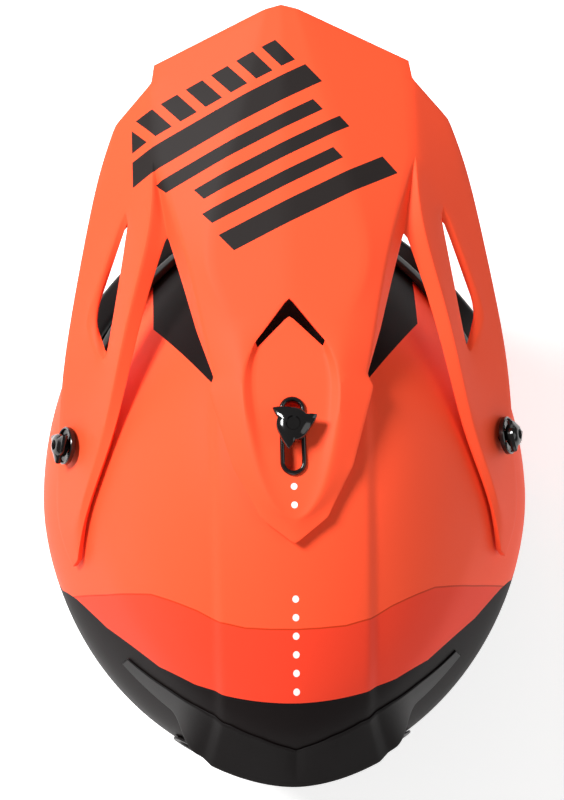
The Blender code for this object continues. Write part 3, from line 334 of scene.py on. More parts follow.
def open_foam(name, base, pore_mm):
    """Open-cell dust foam: a web of pores."""
    material, tree, shader = new_material(name, 0.95, base)
    place = add(tree, "TexCoord", output=3)
    pores = add(tree, "TexVoronoi", {"Vector": place, "Scale": 1000 / pore_mm})
    bump(tree, shader, pores, 0.6)
    web = add(tree, "MapRange", {"Value": pores, "From Min": 0.2, "From Max": 0.6})
    tree.links.new(blend(tree, web, colour("#070707"), colour(base)), shader.inputs["Base Color"])
    return material


DUST_FOAM = open_foam("open-cell polyurethane foam", "#2B2A2A", 1.8)
print("bead foam of", BEAD_MM, "mm beads")

# %% Cloth and webbing
KNIT_MM = 1.6                # the real loops are about 0.8 mm, drawn coarser so they show


def knit(name, base, thread):
    """A brushed warp knit: crossed waves of loops, with a soft sheen from the raised fibres."""
    material, tree, shader = new_material(name, 0.92, base,
                                          **{"Sheen Weight": 0.35, "Sheen Roughness": 0.5})
    place = add(tree, "TexCoord", output=3)
    loops_per_metre = 1000 / KNIT_MM
    x, y, z = [sums(tree, "MULTIPLY", add(tree, "SeparateXYZ", {0: place}, output=i),
                    2 * math.pi * loops_per_metre) for i in range(3)]
    first = sums(tree, "SINE", sums(tree, "ADD", x, z))
    second = sums(tree, "SINE", sums(tree, "ADD", y, sums(tree, "MULTIPLY", z, 0.7)))
    loops = add(tree, "MapRange", {"Value": sums(tree, "MULTIPLY", first, second), "From Min": -1.0})
    bump(tree, shader, loops, 0.3)
    fuzz = add(tree, "TexNoise", {"Vector": place, "Scale": 60.0, "Detail": 4.0})
    yarn = blend(tree, loops, colour(base), colour(thread))
    brushed = blend(tree, spread(tree, fuzz, 0.0, 0.45), yarn, colour(base))
    tree.links.new(brushed, shader.inputs["Base Color"])
    return material


KNIT = knit("brushed polyester knit", "#262527", "#4A484B")
KNIT_GREY = knit("airmesh lining knit", "#3A393C", "#67656A")
RIB_MM = 1.1


def webbing(name, base, thread, width_mm):
    """Woven strap: ribs across it and warp threads along it, laid on the piece's own UV map."""
    material, tree, shader = new_material(name, 0.62, base, **{"Sheen Weight": 0.2, "Sheen Roughness": 0.4})
    place = add(tree, "TexCoord", output=2)
    across, along = [add(tree, "SeparateXYZ", {0: place}, output=i) for i in (0, 1)]
    warp = sums(tree, "SINE", sums(tree, "MULTIPLY", across, 2 * math.pi * width_mm / 1.6))
    weft = sums(tree, "SINE", sums(tree, "MULTIPLY", along, 2 * math.pi / RIB_MM))
    weave = add(tree, "MapRange", {"Value": sums(tree, "ADD", sums(tree, "MULTIPLY", warp, weft), weft),
                                   "From Min": -2.0, "From Max": 2.0})
    bump(tree, shader, weave, 0.25)
    tree.links.new(blend(tree, weave, colour(base), colour(thread)), shader.inputs["Base Color"])
    return material


WEBBING = webbing("woven polyester webbing", "#111113", "#3A3A3E", 48.0)
print("knit of", KNIT_MM, "mm loops, webbing with", RIB_MM, "mm ribs")


# %% Metals
def metal(name, base, roughness, scratch_mm):
    """Drawn or plated metal: long fine marks and a little haze."""
    material, tree, shader = new_material(name, roughness, base, metallic=1.0)
    place = add(tree, "TexCoord", output=3)
    marks = add(tree, "TexNoise", {"Vector": place, "Scale": 1000 / scratch_mm, "Detail": 4.0})
    bump(tree, shader, marks, 0.01)
    tree.links.new(spread(tree, marks, roughness - 0.08, roughness + 0.1), shader.inputs["Roughness"])
    return material


STEEL = metal("zinc-plated steel wire", "#C9C8C4", 0.24, 0.8)
BRASS = metal("turned brass", "#C6A25A", 0.32, 0.5)
print("steel and brass ready")

# %% [markdown]
# ## Shape helpers
# Most pieces of a helmet are skins: a dome, an edging around a hole, a strap. Each is a flat
# grid from one operator whose points are then laid onto a surface, so that its edges line up
# with the surface and its UV map runs along it. Merging the doubles closes seams and poles.


# %% Grid, lathe and hand-over
def wrap(columns, rows, place):
    """A grid laid by place(u, v), for u and v from 0 to 1; opposite edges that meet are closed."""
    bm = bmesh.new()
    bmesh.ops.create_grid(bm, x_segments=columns, y_segments=rows, size=0.5)
    uv = bm.loops.layers.uv.new("UVMap")
    for face in bm.faces:
        for loop in face.loops:
            loop[uv].uv = (loop.vert.co.x + 0.5, loop.vert.co.y + 0.5)
    for vert in bm.verts:
        vert.co = place(vert.co.x + 0.5, vert.co.y + 0.5)
    bmesh.ops.remove_doubles(bm, verts=bm.verts[:], dist=1e-3)
    bmesh.ops.recalc_face_normals(bm, faces=bm.faces[:])
    return bm


def capped(bm):
    """Closes the open ends of a skin."""
    bmesh.ops.holes_fill(bm, edges=[edge for edge in bm.edges if edge.is_boundary])
    bmesh.ops.recalc_face_normals(bm, faces=bm.faces[:])
    return bm


def lathe(profile, steps=48):
    """Spins a line of (radius, height) points about Z; points on the axis close it."""
    bm = bmesh.new()
    verts = [bm.verts.new((r, 0.0, z)) for r, z in profile]
    edges = [bm.edges.new(pair) for pair in zip(verts, verts[1:])]
    bmesh.ops.spin(bm, geom=verts + edges, cent=(0, 0, 0), axis=(0, 0, 1), angle=2 * math.pi,
                   steps=steps, use_merge=True)
    bmesh.ops.remove_doubles(bm, verts=bm.verts[:], dist=1e-3)
    bmesh.ops.recalc_face_normals(bm, faces=bm.faces[:])
    return bm


def on_axis(bm, point, axis, turn=0.0):
    """Moves a part made about Z onto a line in space."""
    lean = Vector((0, 0, 1)).rotation_difference(Vector(axis)).to_matrix().to_4x4()
    move = Matrix.Translation(point) @ lean @ Matrix.Rotation(turn, 4, "Z")
    bmesh.ops.transform(bm, matrix=move, verts=bm.verts[:])
    return bm


def join(*parts):
    """Several closed parts as one mesh."""
    whole = bmesh.new()
    for part in parts:
        mesh = bpy.data.meshes.new("part")
        part.to_mesh(mesh)
        part.free()
        whole.from_mesh(mesh)
        bpy.data.meshes.remove(mesh)
    return whole


def plain_object(name, bm):
    """An object from a mesh in millimetres around the head's axis."""
    bmesh.ops.translate(bm, vec=HEAD, verts=bm.verts[:])
    bmesh.ops.scale(bm, vec=(MM, MM, MM), verts=bm.verts[:])
    mesh = bpy.data.meshes.new(name)
    bm.to_mesh(mesh)
    bm.free()
    obj = bpy.data.objects.new(name, mesh)
    bpy.context.scene.collection.objects.link(obj)
    return obj


def bake(obj):
    """Writes the modifiers' result into the mesh, so that nothing stays live."""
    bpy.context.view_layer.update()
    result = bpy.data.meshes.new_from_object(obj.evaluated_get(bpy.context.evaluated_depsgraph_get()))
    obj.modifiers.clear()
    old, obj.data = obj.data, result
    bpy.data.meshes.remove(old)


def carve(obj, *cutters):
    """Cuts closed shapes out of a piece, and removes them."""
    for number, bm in enumerate(cutters):
        tool = plain_object("tool_%d" % number, bm)
        modifier = obj.modifiers.new(tool.name, "BOOLEAN")
        modifier.object, modifier.solver, modifier.operation = tool, "EXACT", "DIFFERENCE"
    bake(obj)
    for tool in [o for o in bpy.data.objects if o.name.startswith("tool_")]:
        bpy.data.objects.remove(tool)


def finish(obj, body, look, slot, replaced=(), sharp=38.0, bevel=0.0):
    """Rounds, shades and colours a piece, and hands it to its body."""
    if bevel:
        rounding = obj.modifiers.new("rounding", "BEVEL")
        rounding.width, rounding.segments, rounding.limit_method = bevel * MM, 2, "ANGLE"
        rounding.angle_limit = math.radians(sharp)
        rounding.harden_normals = False
        bake(obj)
    obj.data.materials.clear()
    obj.data.materials.append(look)
    obj.data.shade_smooth()
    obj.data.set_sharp_from_angle(angle=math.radians(sharp))
    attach(obj, body)
    if replaced:
        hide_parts(*replaced)
    print(obj.name, len(obj.data.polygons), "faces")
    return obj


def piece(name, bm, body, look, slot, replaced=(), **rest):
    return finish(plain_object(name, bm), body, look, slot, replaced, **rest)


def dress(name, look):
    """Gives a CAD solid that keeps its shape its finish."""
    NODES[name].data.materials.clear()
    NODES[name].data.materials.append(look)


# %% [markdown]
# ## The head shape
# The shell is one surface, described by levels from the rim to the crown. Each level is a rounded
# outline with its own front depth, rear depth and width, and the levels blend smoothly. Every
# edging, vent and pad takes its place from this surface, as it did in the CAD model.

# %% The surface
SHELL_WIDTH, SHELL_HEIGHT, RIM_HEIGHT = 248.0, 263.0, 3.0
FRONT_DEPTH, REAR_DEPTH, SHELL_WALL = 172.0, 144.0, 4.0
CHIN_RISE, CHIN_RISE_START = 14.0, 55.0
SHELL_LEVELS = (
    (0.000, 0.790, 0.780, 0.840, 14.0, 1.90, 2.00),
    (0.127, 0.928, 0.865, 0.930, 18.0, 1.90, 2.00),
    (0.258, 1.000, 0.925, 0.975, 20.0, 1.90, 1.95),
    (0.404, 0.948, 0.975, 1.000, 22.0, 1.95, 1.87),
    (0.535, 0.866, 1.000, 0.984, 22.0, 2.00, 1.80),
    (0.696, 0.762, 0.970, 0.830, 19.0, 2.00, 1.80),
    (0.781, 0.680, 0.872, 0.716, 17.0, 2.00, 1.85),
    (0.858, 0.564, 0.704, 0.590, 15.0, 2.00, 1.90),
    (0.931, 0.395, 0.488, 0.430, 12.0, 2.00, 2.00),
    (0.977, 0.221, 0.292, 0.262, 10.0, 2.00, 2.00),
    (0.996, 0.087, 0.115, 0.113, 9.0, 2.00, 2.00),
    (1.000, 0.000, 0.000, 0.000, 8.0, 2.00, 2.00),
)
CROWN = len(SHELL_LEVELS) - 1.0


def signed_power(value, power):
    return math.copysign(abs(value) ** power, value)


def level_values(s):
    """A Catmull-Rom curve through the rows of the table."""
    s = min(max(s, 0.0), CROWN)
    i = min(int(s), int(CROWN) - 1)
    t = s - i
    rows = [SHELL_LEVELS[min(max(i + k, 0), int(CROWN))] for k in (-1, 0, 1, 2)]
    return [0.5 * (2 * b + (c - a) * t + (2 * a - 5 * b + 4 * c - d) * t * t
                   + (3 * b - a - 3 * c + d) * t ** 3) for a, b, c, d in zip(*rows)]


def level_at_height(z):
    """The level whose plain height is z."""
    low, high = 0.0, CROWN
    for _ in range(30):
        middle = (low + high) / 2
        if RIM_HEIGHT + level_values(middle)[0] * (SHELL_HEIGHT - RIM_HEIGHT) < z:
            low = middle
        else:
            high = middle
    return low


def skin(s, a):
    """A point of the outer skin at level s; a is the angle from +X towards the rear."""
    share, front, rear, half, middle, round_front, round_rear = level_values(s)
    behind = math.sin(a) > 0
    depth, roundness = (rear * REAR_DEPTH, round_rear) if behind else (front * FRONT_DEPTH, round_front)
    x = half * SHELL_WIDTH / 2 * signed_power(math.cos(a), 2 / roundness)
    y = middle + depth * signed_power(math.sin(a), 2 / roundness)
    t = min(max((-y - CHIN_RISE_START) / (FRONT_DEPTH - 20.0 - CHIN_RISE_START), 0.0), 1.0)
    lift = CHIN_RISE * t * t * (3 - 2 * t) * max(0.0, 1.0 - share / 0.34)
    return Vector((x, y, RIM_HEIGHT + share * (SHELL_HEIGHT - RIM_HEIGHT) + lift))


def skin_normal(s, a):
    """The skin's outward direction."""
    step = 0.01
    low, high = max(s - step, 0.0), min(s + step, CROWN - 0.02)
    up = skin(high, a) - skin(low, a)
    along = skin(s, a + step) - skin(s, a - step)
    if along.length < 1e-6 or up.length < 1e-6:
        return Vector((0, 0, 1))
    return along.cross(up).normalized()


def under_skin(s, a, inset):
    """A point at a depth under the skin; a negative depth is over it."""
    if s > CROWN - 0.03:
        return Vector((0.0, SHELL_LEVELS[-1][4], SHELL_HEIGHT - inset))
    return skin(s, a) - skin_normal(s, a) * inset


def side_x(y, z):
    """Half width of the skin at a height and a place along the helmet."""
    _, front, rear, half, middle, round_front, round_rear = level_values(level_at_height(z))
    depth, roundness = (rear * REAR_DEPTH, round_rear) if y > middle else (front * FRONT_DEPTH, round_front)
    share = min(abs(y - middle) / depth, 1.0)
    return half * SHELL_WIDTH / 2 * (1 - share ** roundness) ** (1 / roundness)


def face_angle(x, z):
    """The angle at which the front of the skin reaches x, at a height."""
    _, _, _, half, _, round_front, _ = level_values(level_at_height(z))
    share = min(abs(x) / (half * SHELL_WIDTH / 2), 1.0)
    return -math.acos(math.copysign(share ** (round_front / 2), x))


def ramp(value, low, high):
    """0 below low, 1 above high, smooth between."""
    t = min(max((value - low) / (high - low), 0.0), 1.0)
    return t * t * (3 - 2 * t)


print("crown at", tuple(under_skin(CROWN, 0.0, 0.0)))

# %% [markdown]
# ## Openings and raised lines
# The eye port is a wide rounded window. A flat spine runs over the crown to the back, with a
# short bevel down each side, and the chin and the cheeks carry shallow steps. On a real shell
# these come from the mould. Here they are a small height added along the skin's normal.

# %% Outlines and relief
PORT_WIDTH, PORT_HEIGHT, PORT_CENTRE_Z = 220.0, 92.0, 152.0
PORT_SQUARENESS, PORT_TAPER = 3.2, 0.03
SPINE_HALF, SPINE_BEVEL, SPINE_HEIGHT = 34.5, 4.8, 2.0


def port_spot(t):
    """The eye port's outline as level and angle."""
    across = signed_power(math.cos(t), 2 / PORT_SQUARENESS)
    up = signed_power(math.sin(t), 2 / PORT_SQUARENESS)
    x = across * PORT_WIDTH / 2 * (1 - PORT_TAPER + PORT_TAPER * up)
    z = PORT_CENTRE_Z + up * PORT_HEIGHT / 2
    return level_at_height(z), face_angle(x, z)


def vent(height, angle, half_height, half_angle, squareness, slant=0.0):
    """A vent's outline on the skin around a height and an angle in degrees."""
    middle = level_at_height(height)
    half_level = (level_at_height(height + half_height) - level_at_height(height - half_height)) / 2

    def outline(t):
        along = signed_power(math.cos(t), 2 / squareness)
        across = signed_power(math.sin(t), 2 / squareness)
        return middle + half_level * (across + slant * along), math.radians(angle + half_angle * along)
    return outline


VENTS = {
    "mouth_vent": vent(57.0, -90.0, 15.0, 17.0, 3.0),
    "chin_vent_left": vent(60.0, -46.0, 9.0, 9.0, 2.6, 0.25),
    "chin_vent_right": vent(60.0, -134.0, 9.0, 9.0, 2.6, -0.25),
    "brow_vent_left": vent(221.0, -76.0, 5.0, 7.0, 2.4, -0.1),
    "brow_vent_right": vent(221.0, -104.0, 5.0, 7.0, 2.4, 0.1),
    "rear_vent_left": vent(128.0, 68.0, 10.0, 8.0, 2.6, -0.25),
    "rear_vent_right": vent(128.0, 112.0, 10.0, 8.0, 2.6, 0.25),
}


def relief(p):
    """Height of the moulded lines over the plain skin."""
    spine = SPINE_HEIGHT * min(max((SPINE_HALF + SPINE_BEVEL - abs(p.x)) / SPINE_BEVEL, 0.0), 1.0)
    spine *= ramp(p.y, -30.0, 20.0) * ramp(p.z, 120.0, 150.0)
    nose = 2.2 * ramp(-p.y, 118.0, 126.0) * (1 - ramp(p.z, 78.0, 84.0))
    nose *= 1 - ramp(abs(p.x) + 0.45 * p.z, 70.0, 76.0)
    cheek_line = 34.0 + (p.y + 120.0) * 0.20
    cheek = 1.6 * (1 - ramp(p.z, cheek_line - 3.0, cheek_line + 1.0)) * ramp(abs(p.x), 50.0, 62.0)
    collar = 1.8 * ramp(p.y, 60.0, 72.0) * (1 - ramp(p.z, 26.0, 30.0))
    return spine + nose + max(cheek * ramp(-p.y, -70.0, -58.0), collar)


print(len(VENTS), "vents and a", PORT_WIDTH, "mm port")

# %% The shell
def plug(outline, outer, inner, count=48):
    """A closed shape under an outline on the skin, from one depth to another."""
    spots = [outline(2 * math.pi * k / 16) for k in range(16)]
    centre = [sum(c) / len(spots) for c in zip(*spots)]
    rings = ((0.0, outer), (0.5, outer), (1.0, outer), (1.0, inner), (0.5, inner), (0.0, inner))

    def place(u, v):
        share, inset = rings[round(v * (len(rings) - 1))]
        s, a = outline(2 * math.pi * round(u * count) / count)
        return under_skin(centre[0] + (s - centre[0]) * share, centre[1] + (a - centre[1]) * share, inset)
    return wrap(count, len(rings) - 1, place)


def shell_wall(u, v):
    """One closed wall: up the outside, and down the inside."""
    a = 2 * math.pi * u
    outside = v < OUTSIDE_SHARE
    rise = v / OUTSIDE_SHARE if outside else (1 - v) / (1 - OUTSIDE_SHARE)
    s = CROWN * (1 - (1 - rise) ** 1.25)
    if s > CROWN - 0.03:
        return under_skin(CROWN, 0.0, -SPINE_HEIGHT * ramp(8.0, -30.0, 20.0) if outside else SHELL_WALL)
    p = skin(s, a)
    return under_skin(s, a, -relief(p) if outside else SHELL_WALL)


SHELL_COLUMNS, SHELL_ROWS = 320, 200
shell = plain_object("shell_moulding", wrap(SHELL_COLUMNS, SHELL_ROWS, shell_wall))
bm = bmesh.new()
bm.from_mesh(shell.data)
rims = [edge for edge in bm.edges if edge.is_boundary]
bmesh.ops.bridge_loops(bm, edges=rims)
bmesh.ops.recalc_face_normals(bm, faces=bm.faces[:])
bm.to_mesh(shell.data)
bm.free()
holes = [plug(port_spot, -8.0, SHELL_WALL + 6.0, 120)]
holes += [plug(outline, -6.0, SHELL_WALL + 3.0) for outline in VENTS.values()]
carve(shell, *holes)
finish(shell, "helmet", SHELL_PAINT, "shell", ("outer_shell",), sharp=30.0)

# %% [markdown]
# ## Edgings
# Rubber profiles are clipped over the cut edges: a thick one around the eye port, where goggles
# press, and a rolled one along the lower rim, on which the helmet stands. Each is one profile
# carried around its edge.


# %% Gasket and base trim
def rounded(points, steps=3):
    """A closed outline with each corner eased into a short curve."""
    result = []
    for k, point in enumerate(points):
        before, here, after = Vector(points[k - 1]), Vector(point), Vector(points[(k + 1) % len(points)])
        reach = min((before - here).length, (after - here).length) * 0.42
        first = here + (before - here).normalized() * reach
        last = here + (after - here).normalized() * reach
        for n in range(steps + 1):
            t = n / steps
            result.append(first * (1 - t) ** 2 + here * 2 * t * (1 - t) + last * t * t)
    return result


def sweep(frames, section):
    """Carries a closed section around a closed line; a frame is (point, out, up)."""
    count, corners = len(frames), len(section)

    def place(u, v):
        point, out, up = frames[round(u * count) % count]
        a, b = section[round(v * corners) % corners]
        return point + out * a + up * b
    return wrap(count, corners, place)


def edge_frames(outline, count, inside=None):
    spots = [outline(2 * math.pi * k / count) for k in range(count)]
    points = [skin(*spot) for spot in spots]
    frames = []
    for k, spot in enumerate(spots):
        along = points[(k + 1) % count] - points[k - 1]
        up = skin_normal(*spot)
        out = along.cross(up).normalized()
        if inside is not None and (points[k] - inside).dot(out) < 0:
            out = -out
        frames.append((points[k], out, up))
    return frames


front = skin(level_at_height(PORT_CENTRE_Z), -math.pi / 2)
GASKET = rounded(((-4.0, -8.0), (-4.0, 3.4), (-1.5, 4.6), (4.5, 3.9), (5.2, 1.0), (0.0, 0.6), (0.0, -4.6),
                  (4.6, -5.4), (4.6, -8.0)))
piece("eye_port_rubber", sweep(edge_frames(port_spot, 160, front), GASKET), "helmet", RUBBER, "edging",
      ("eye_port_gasket",))


def rim_frames(count):
    frames = []
    for k in range(count):
        a = 2 * math.pi * k / count
        point, up = skin(0.0, a), skin_normal(0.0, a)
        rise = skin(0.05, a) - point
        frames.append((point, (rise - up * rise.dot(up)).normalized(), up))
    return frames


BASE = rounded(((-2.2, 1.5), (-1.0, 3.4), (4.6, 3.7), (5.4, 2.4), (4.8, 0.3), (0.0, 0.3), (0.0, -4.4),
                (5.0, -4.8), (5.0, -7.2), (-1.2, -7.7), (-2.4, -5.5)))
base = sweep(rim_frames(200), BASE)
for vert in base.verts:
    vert.co.z = max(vert.co.z, 0.0)
piece("rim_rubber", base, "helmet", SOFT_RUBBER, "edging", ("base_trim",))

# %% [markdown]
# ## Vents
# Each opening in the shell has a moulded frame with a lip, and behind it a sheet of dust foam.
# The mouth vent carries louvres, and the others carry thin bars. The frame is one profile around
# the outline, and the bars are slim rounded strips laid across it.

# %% Vent frames and bars
VENT_LIP = rounded(((0.8, -4.5), (0.8, 0.9), (-1.8, 1.0), (-1.4, 2.0), (2.6, 1.6), (3.0, -4.5)))


def vent_bar(outline, height, half_thick, lean):
    """A louvre: a flat strip from side to side at one height of the outline."""
    centre = [(p + q) / 2 for p, q in zip(outline(0.0), outline(math.pi))]
    reach = outline(0.0)[1] - centre[1]
    lift = outline(math.pi / 2)[0] - centre[0]

    def place(u, v):
        t = 2 * math.pi * v
        a = centre[1] + reach * 0.94 * (2 * u - 1)
        slope = (outline(0.0)[0] - outline(math.pi)[0]) / 2 * (2 * u - 1)
        s = centre[0] + lift * height + slope + half_thick * math.sin(t)
        return under_skin(s, a, 2.2 + 1.5 * math.cos(t) + lean * math.sin(t))
    return capped(wrap(16, 8, place))


for name, outline in VENTS.items():
    ring = sweep([(p, -out, up) for p, out, up in edge_frames(outline, 64, under_skin(*[
        (a + b) / 2 for a, b in zip(outline(0.0), outline(math.pi))], 0.0))], VENT_LIP)
    heights = (-0.62, -0.2, 0.22, 0.64) if name == "mouth_vent" else (-0.36, 0.36)
    bars = [vent_bar(outline, height, 0.016, 0.9) for height in heights]
    piece(name + "_grille", join(ring, *bars), "helmet", SATIN_ABS, "vents", (name + "_frame",))
    dress(name + "_filter", DUST_FOAM)

# %% [markdown]
# ## Rear spoiler
# A separate wedge is bonded over the back of the head. Its top edge makes a shallow V, it
# rises away from the skin to a sharp trailing edge, and a slot at each side lets hot air out.

# %% Spoiler
SPOILER_EDGE_Z, SPOILER_DROP, SPOILER_SPREAD, SPOILER_LIP, SPOILER_SHARE = 172.0, 14.0, 52.0, 12.0, 0.94
SPOILER_TOP = ((0.0, 186.6), (0.06, 188.6), (0.22, 191.6), (0.39, 191.8), (0.57, 187.2), (0.73, 180.6),
               (1.0, 164.0))


def along_line(points, x):
    """Height of a bent line at x."""
    for (x0, z0), (x1, z1) in zip(points, points[1:]):
        if x <= x1:
            return z0 + (z1 - z0) * (x - x0) / (x1 - x0)
    return points[-1][1]


def spoiler_place(u, v):
    """Up the outside from the trailing edge, then down the underside."""
    side = SPOILER_SHARE * abs(2 * u - 1)
    over = v < 0.6
    rise = min(v / 0.6, 1.0) if over else (1 - v) / 0.4
    edge = SPOILER_EDGE_Z - SPOILER_DROP * side * side
    z = edge + (along_line(SPOILER_TOP, side) - edge) * rise
    s, a = level_at_height(z), math.radians(90.0 + SPOILER_SPREAD * SPOILER_SHARE * (2 * u - 1))
    lip = SPOILER_LIP * (1 - ramp(side, 0.48, 0.68)) * (1 - rise) ** 1.25
    return under_skin(s, a, -0.5 - relief(skin(s, a)) - (0.5 + lip if over else 0.0))


piece("spoiler_moulding", capped(wrap(160, 40, spoiler_place)), "helmet", SATIN_ABS, "spoiler",
      ("rear_spoiler",), bevel=0.25, sharp=40.0)

# %% [markdown]
# ## The peak
# The peak is one thin moulding: a pointed visor with a flat-topped nose, two wings with a vent
# each, a hood with a chevron slot over a scoop, and two arms that reach down to the side screws.
# It is modelled as a cage of named points on one side, mirrored, then smoothed as a subdivision
# surface. Crisp mould lines are creased edges, and crisp corners are creased points. Then it
# gets its wall, its slot and its holes.

# %% The cage
PEAK_TIP_Y, PEAK_TIP_Z, CORNER_X, PEAK_WALL = -186.0, 288.0, 61.5, 2.6
HINGE = SPOTS["peak_tilt"][0]
TOP = PEAK_TIP_Z
CAGE = {
    "a0": (0.0, PEAK_TIP_Y - 0.8, TOP), "a1": (8.0, PEAK_TIP_Y + 1.2, TOP - 0.5),
    "a3": (CORNER_X, PEAK_TIP_Y + 23.0, TOP - 16.0), "b0": (0.0, -152.0, TOP - 0.7),
    "b1": (16.5, -152.0, TOP - 2.2), "b3": (CORNER_X + 1.5, -154.0, TOP - 15.8),
    "c0": (0.0, -136.0, TOP - 1.4), "c1": (21.0, -136.0, TOP - 2.8),
    "c3": (CORNER_X + 1.5, -137.0, TOP - 15.6), "c4": (81.0, -138.0, TOP - 31.0),
    "d0": (0.0, -116.0, TOP - 2.6), "d1": (26.5, -116.0, TOP - 4.6),
    "d3": (CORNER_X + 1.5, -116.0, TOP - 16.0), "d4": (90.0, -117.0, TOP - 41.0),
    "e0": (0.0, -83.0, TOP - 6.4), "e1": (36.0, -83.0, TOP - 8.6), "e2": (53.0, -86.0, TOP - 15.5),
    "ex": (57.0, -81.0, TOP - 26.0), "e3": (64.0, -84.0, TOP - 20.0), "e4": (98.5, -84.0, TOP - 59.0),
    "f0": (0.0, -60.0, TOP - 8.4), "f1": (40.5, -60.0, TOP - 11.8), "f2": (46.8, -62.0, TOP - 15.8),
    "fx": (51.0, -60.0, TOP - 27.0), "h0": (0.0, -45.0, TOP - 10.2), "h1": (16.5, -24.0, TOP - 13.2),
    "n1": (27.0, -33.0, TOP - 12.8), "t1": (41.5, -34.0, TOP - 18.5), "tx": (44.0, -33.0, TOP - 27.0),
    "q1": (24.5, -8.0, TOP - 13.6), "t2": (36.5, -9.0, TOP - 21.0), "u2": (39.2, -3.0, TOP - 21.8),
    "k0": (0.0, -37.5, TOP - 16.6), "k1": (15.5, -22.0, TOP - 16.6), "p1": (19.5, -8.0, TOP - 16.6),
    "g1": (0.0, -8.0, TOP - 16.4), "q2": (21.5, 17.0, TOP - 14.0), "p2": (16.5, 17.0, TOP - 16.8),
    "g2": (0.0, 17.0, TOP - 16.8), "t3": (33.5, 17.0, TOP - 21.5), "q3": (17.0, 39.0, TOP - 18.4),
    "p3": (12.0, 39.0, TOP - 20.0), "g3": (0.0, 39.0, TOP - 20.2), "t4": (28.2, 35.0, TOP - 23.4),
    "q4": (11.0, 54.0, TOP - 21.6), "p4": (6.0, 53.0, TOP - 22.7), "g4": (0.0, 53.0, TOP - 22.9),
    "t5": (20.5, 49.0, TOP - 25.5), "g5": (0.0, 63.0, TOP - 26.2), "t6": (15.6, 58.6, TOP - 27.3),
    "g6": (0.0, 70.5, TOP - 30.0), "v0": (77.0, -97.0, TOP - 33.0), "vi": (80.5, -64.0, TOP - 42.5),
    "vo": (98.5, -48.0, TOP - 66.0), "vb": (89.5, -25.0, TOP - 61.0), "y0": (75.6, -92.0, TOP - 35.5),
    "yo": (93.5, -51.5, TOP - 67.0), "yb": (88.0, -31.5, TOP - 62.5), "i1": (68.0, -52.0, TOP - 39.0),
    "r1": (75.0, -52.0, TOP - 36.5), "w1": (106.5, -50.0, TOP - 76.0), "i2": (75.5, -26.0, TOP - 49.0),
    "r2": (82.0, -26.0, TOP - 47.5), "w2": (111.5, -24.0, TOP - 90.0),
}
# The arm's points: y, z and how far each stands off the shell's side.
ARM = {
    "i3": (HINGE.y - 3.0, 220.0, 6.0), "r3": (HINGE.y - 1.0, 217.0, 9.5), "m3": (HINGE.y, 202.0, 8.0),
    "w3": (HINGE.y + 1.0, 173.0, 6.5), "i4": (26.0, 206.0, 5.5), "r4": (27.0, 203.0, 8.5),
    "m4": (29.0, 190.0, 7.0), "w4": (31.0, 168.0, 6.0), "i5": (45.0, 190.0, 5.5),
    "r5": (46.0, 187.0, 7.5), "m5": (47.0, 179.0, 6.5), "w5": (48.0, 166.0, 5.5),
    "i6": (61.0, 175.5, 5.0), "w6": (63.0, 169.0, 5.0),
}
CAGE.update({name: (side_x(y, z) + off, y, z) for name, (y, z, off) in ARM.items()})
PEAK_FACES = """
a0 a1 b1 b0, a1 a3 b3 b1, b0 b1 c1 c0, b1 b3 c3 c1, b3 c4 c3, c0 c1 d1 d0, c1 c3 d3 d1, c3 c4 d4 d3,
d0 d1 e1 e0, d1 d3 e2 e1, d3 ex e2, d3 e3 ex, d3 d4 v0, d3 v0 e3, d4 e4 v0, e0 e1 f1 f0, e1 e2 f2 f1,
e2 ex fx f2, f0 f1 n1 h0, f1 f2 t1 n1, f2 fx tx t1, h0 n1 h1, h1 n1 q1, n1 t1 t2 q1, t1 tx t2,
h1 q1 p1 k1, k0 k1 p1 g1, q1 t2 u2, q1 u2 t3 q2, p1 q1 q2 p2, g1 p1 p2 g2, q2 t3 t4 q3, p2 q2 q3 p3,
g2 p2 p3 g3, q3 t4 t5 q4, p3 q3 q4 p4, g3 p3 p4 g4, q4 t5 t6 g5, p4 q4 g5, g4 p4 g5, g5 t6 g6,
v0 e4 w1 vo, vo w1 w2 vb, v0 vo yo y0, vo vb yb yo, e3 v0 y0 vi r1, r1 vi yb vb r2, ex e3 r1 i1,
i1 r1 r2 i2, i2 r2 r3 i3, r2 vb m3 r3, vb w2 w3 m3, i3 r3 r4 i4, r3 m3 m4 r4, m3 w3 w4 m4, i4 r4 r5 i5,
r4 m4 m5 r5, m4 w4 w5 m5, i5 r5 m5 i6, m5 w5 w6 i6"""
PEAK_CREASES = {
    0.95: ("a0 a1 a3 b3 c4 d4 e4 w1 w2 w3", "h0 h1", "k0 k1", "v0 vo vb", "y0 yo yb vi y0",
          "d3 ex i1 i2 i3 i4 i5 i6", "ex fx tx t2", "t2 u2 t3 t4 t5 t6 g6", "h1 k1", "b3 c3 d3 e2 f2 t1 t2",
          "d3 e3 r1 r2 r3 r4 r5"),
    0.9: ("a1 b1 c1 d1 e1 f1 n1", "a0 b0 c0 d0 e0 f0 h0", "v0 y0", "vb yb", "h1 q1"),
    0.6: ("q1 q2", "k1 p1 p2"), 0.35: ("q2 q3", "p2 p3", "q3 q4 g5"),
}
SHARP_CORNERS = {0.95: "h0 h1 k0 k1 t2 u2 t6 g6 y0 yo yb vo v0 tx b3 i6 w6", 0.7: "a3 c4 ex a0 t4"}
bm = bmesh.new()
crease = bm.edges.layers.float.new("crease_edge")
pin = bm.verts.layers.float.new("crease_vert")
corner = {name: bm.verts.new(place) for name, place in CAGE.items()}
for weight, names in SHARP_CORNERS.items():
    for name in names.split():
        corner[name][pin] = weight
for line in PEAK_FACES.split(","):
    bm.faces.new([corner[name] for name in line.split()])
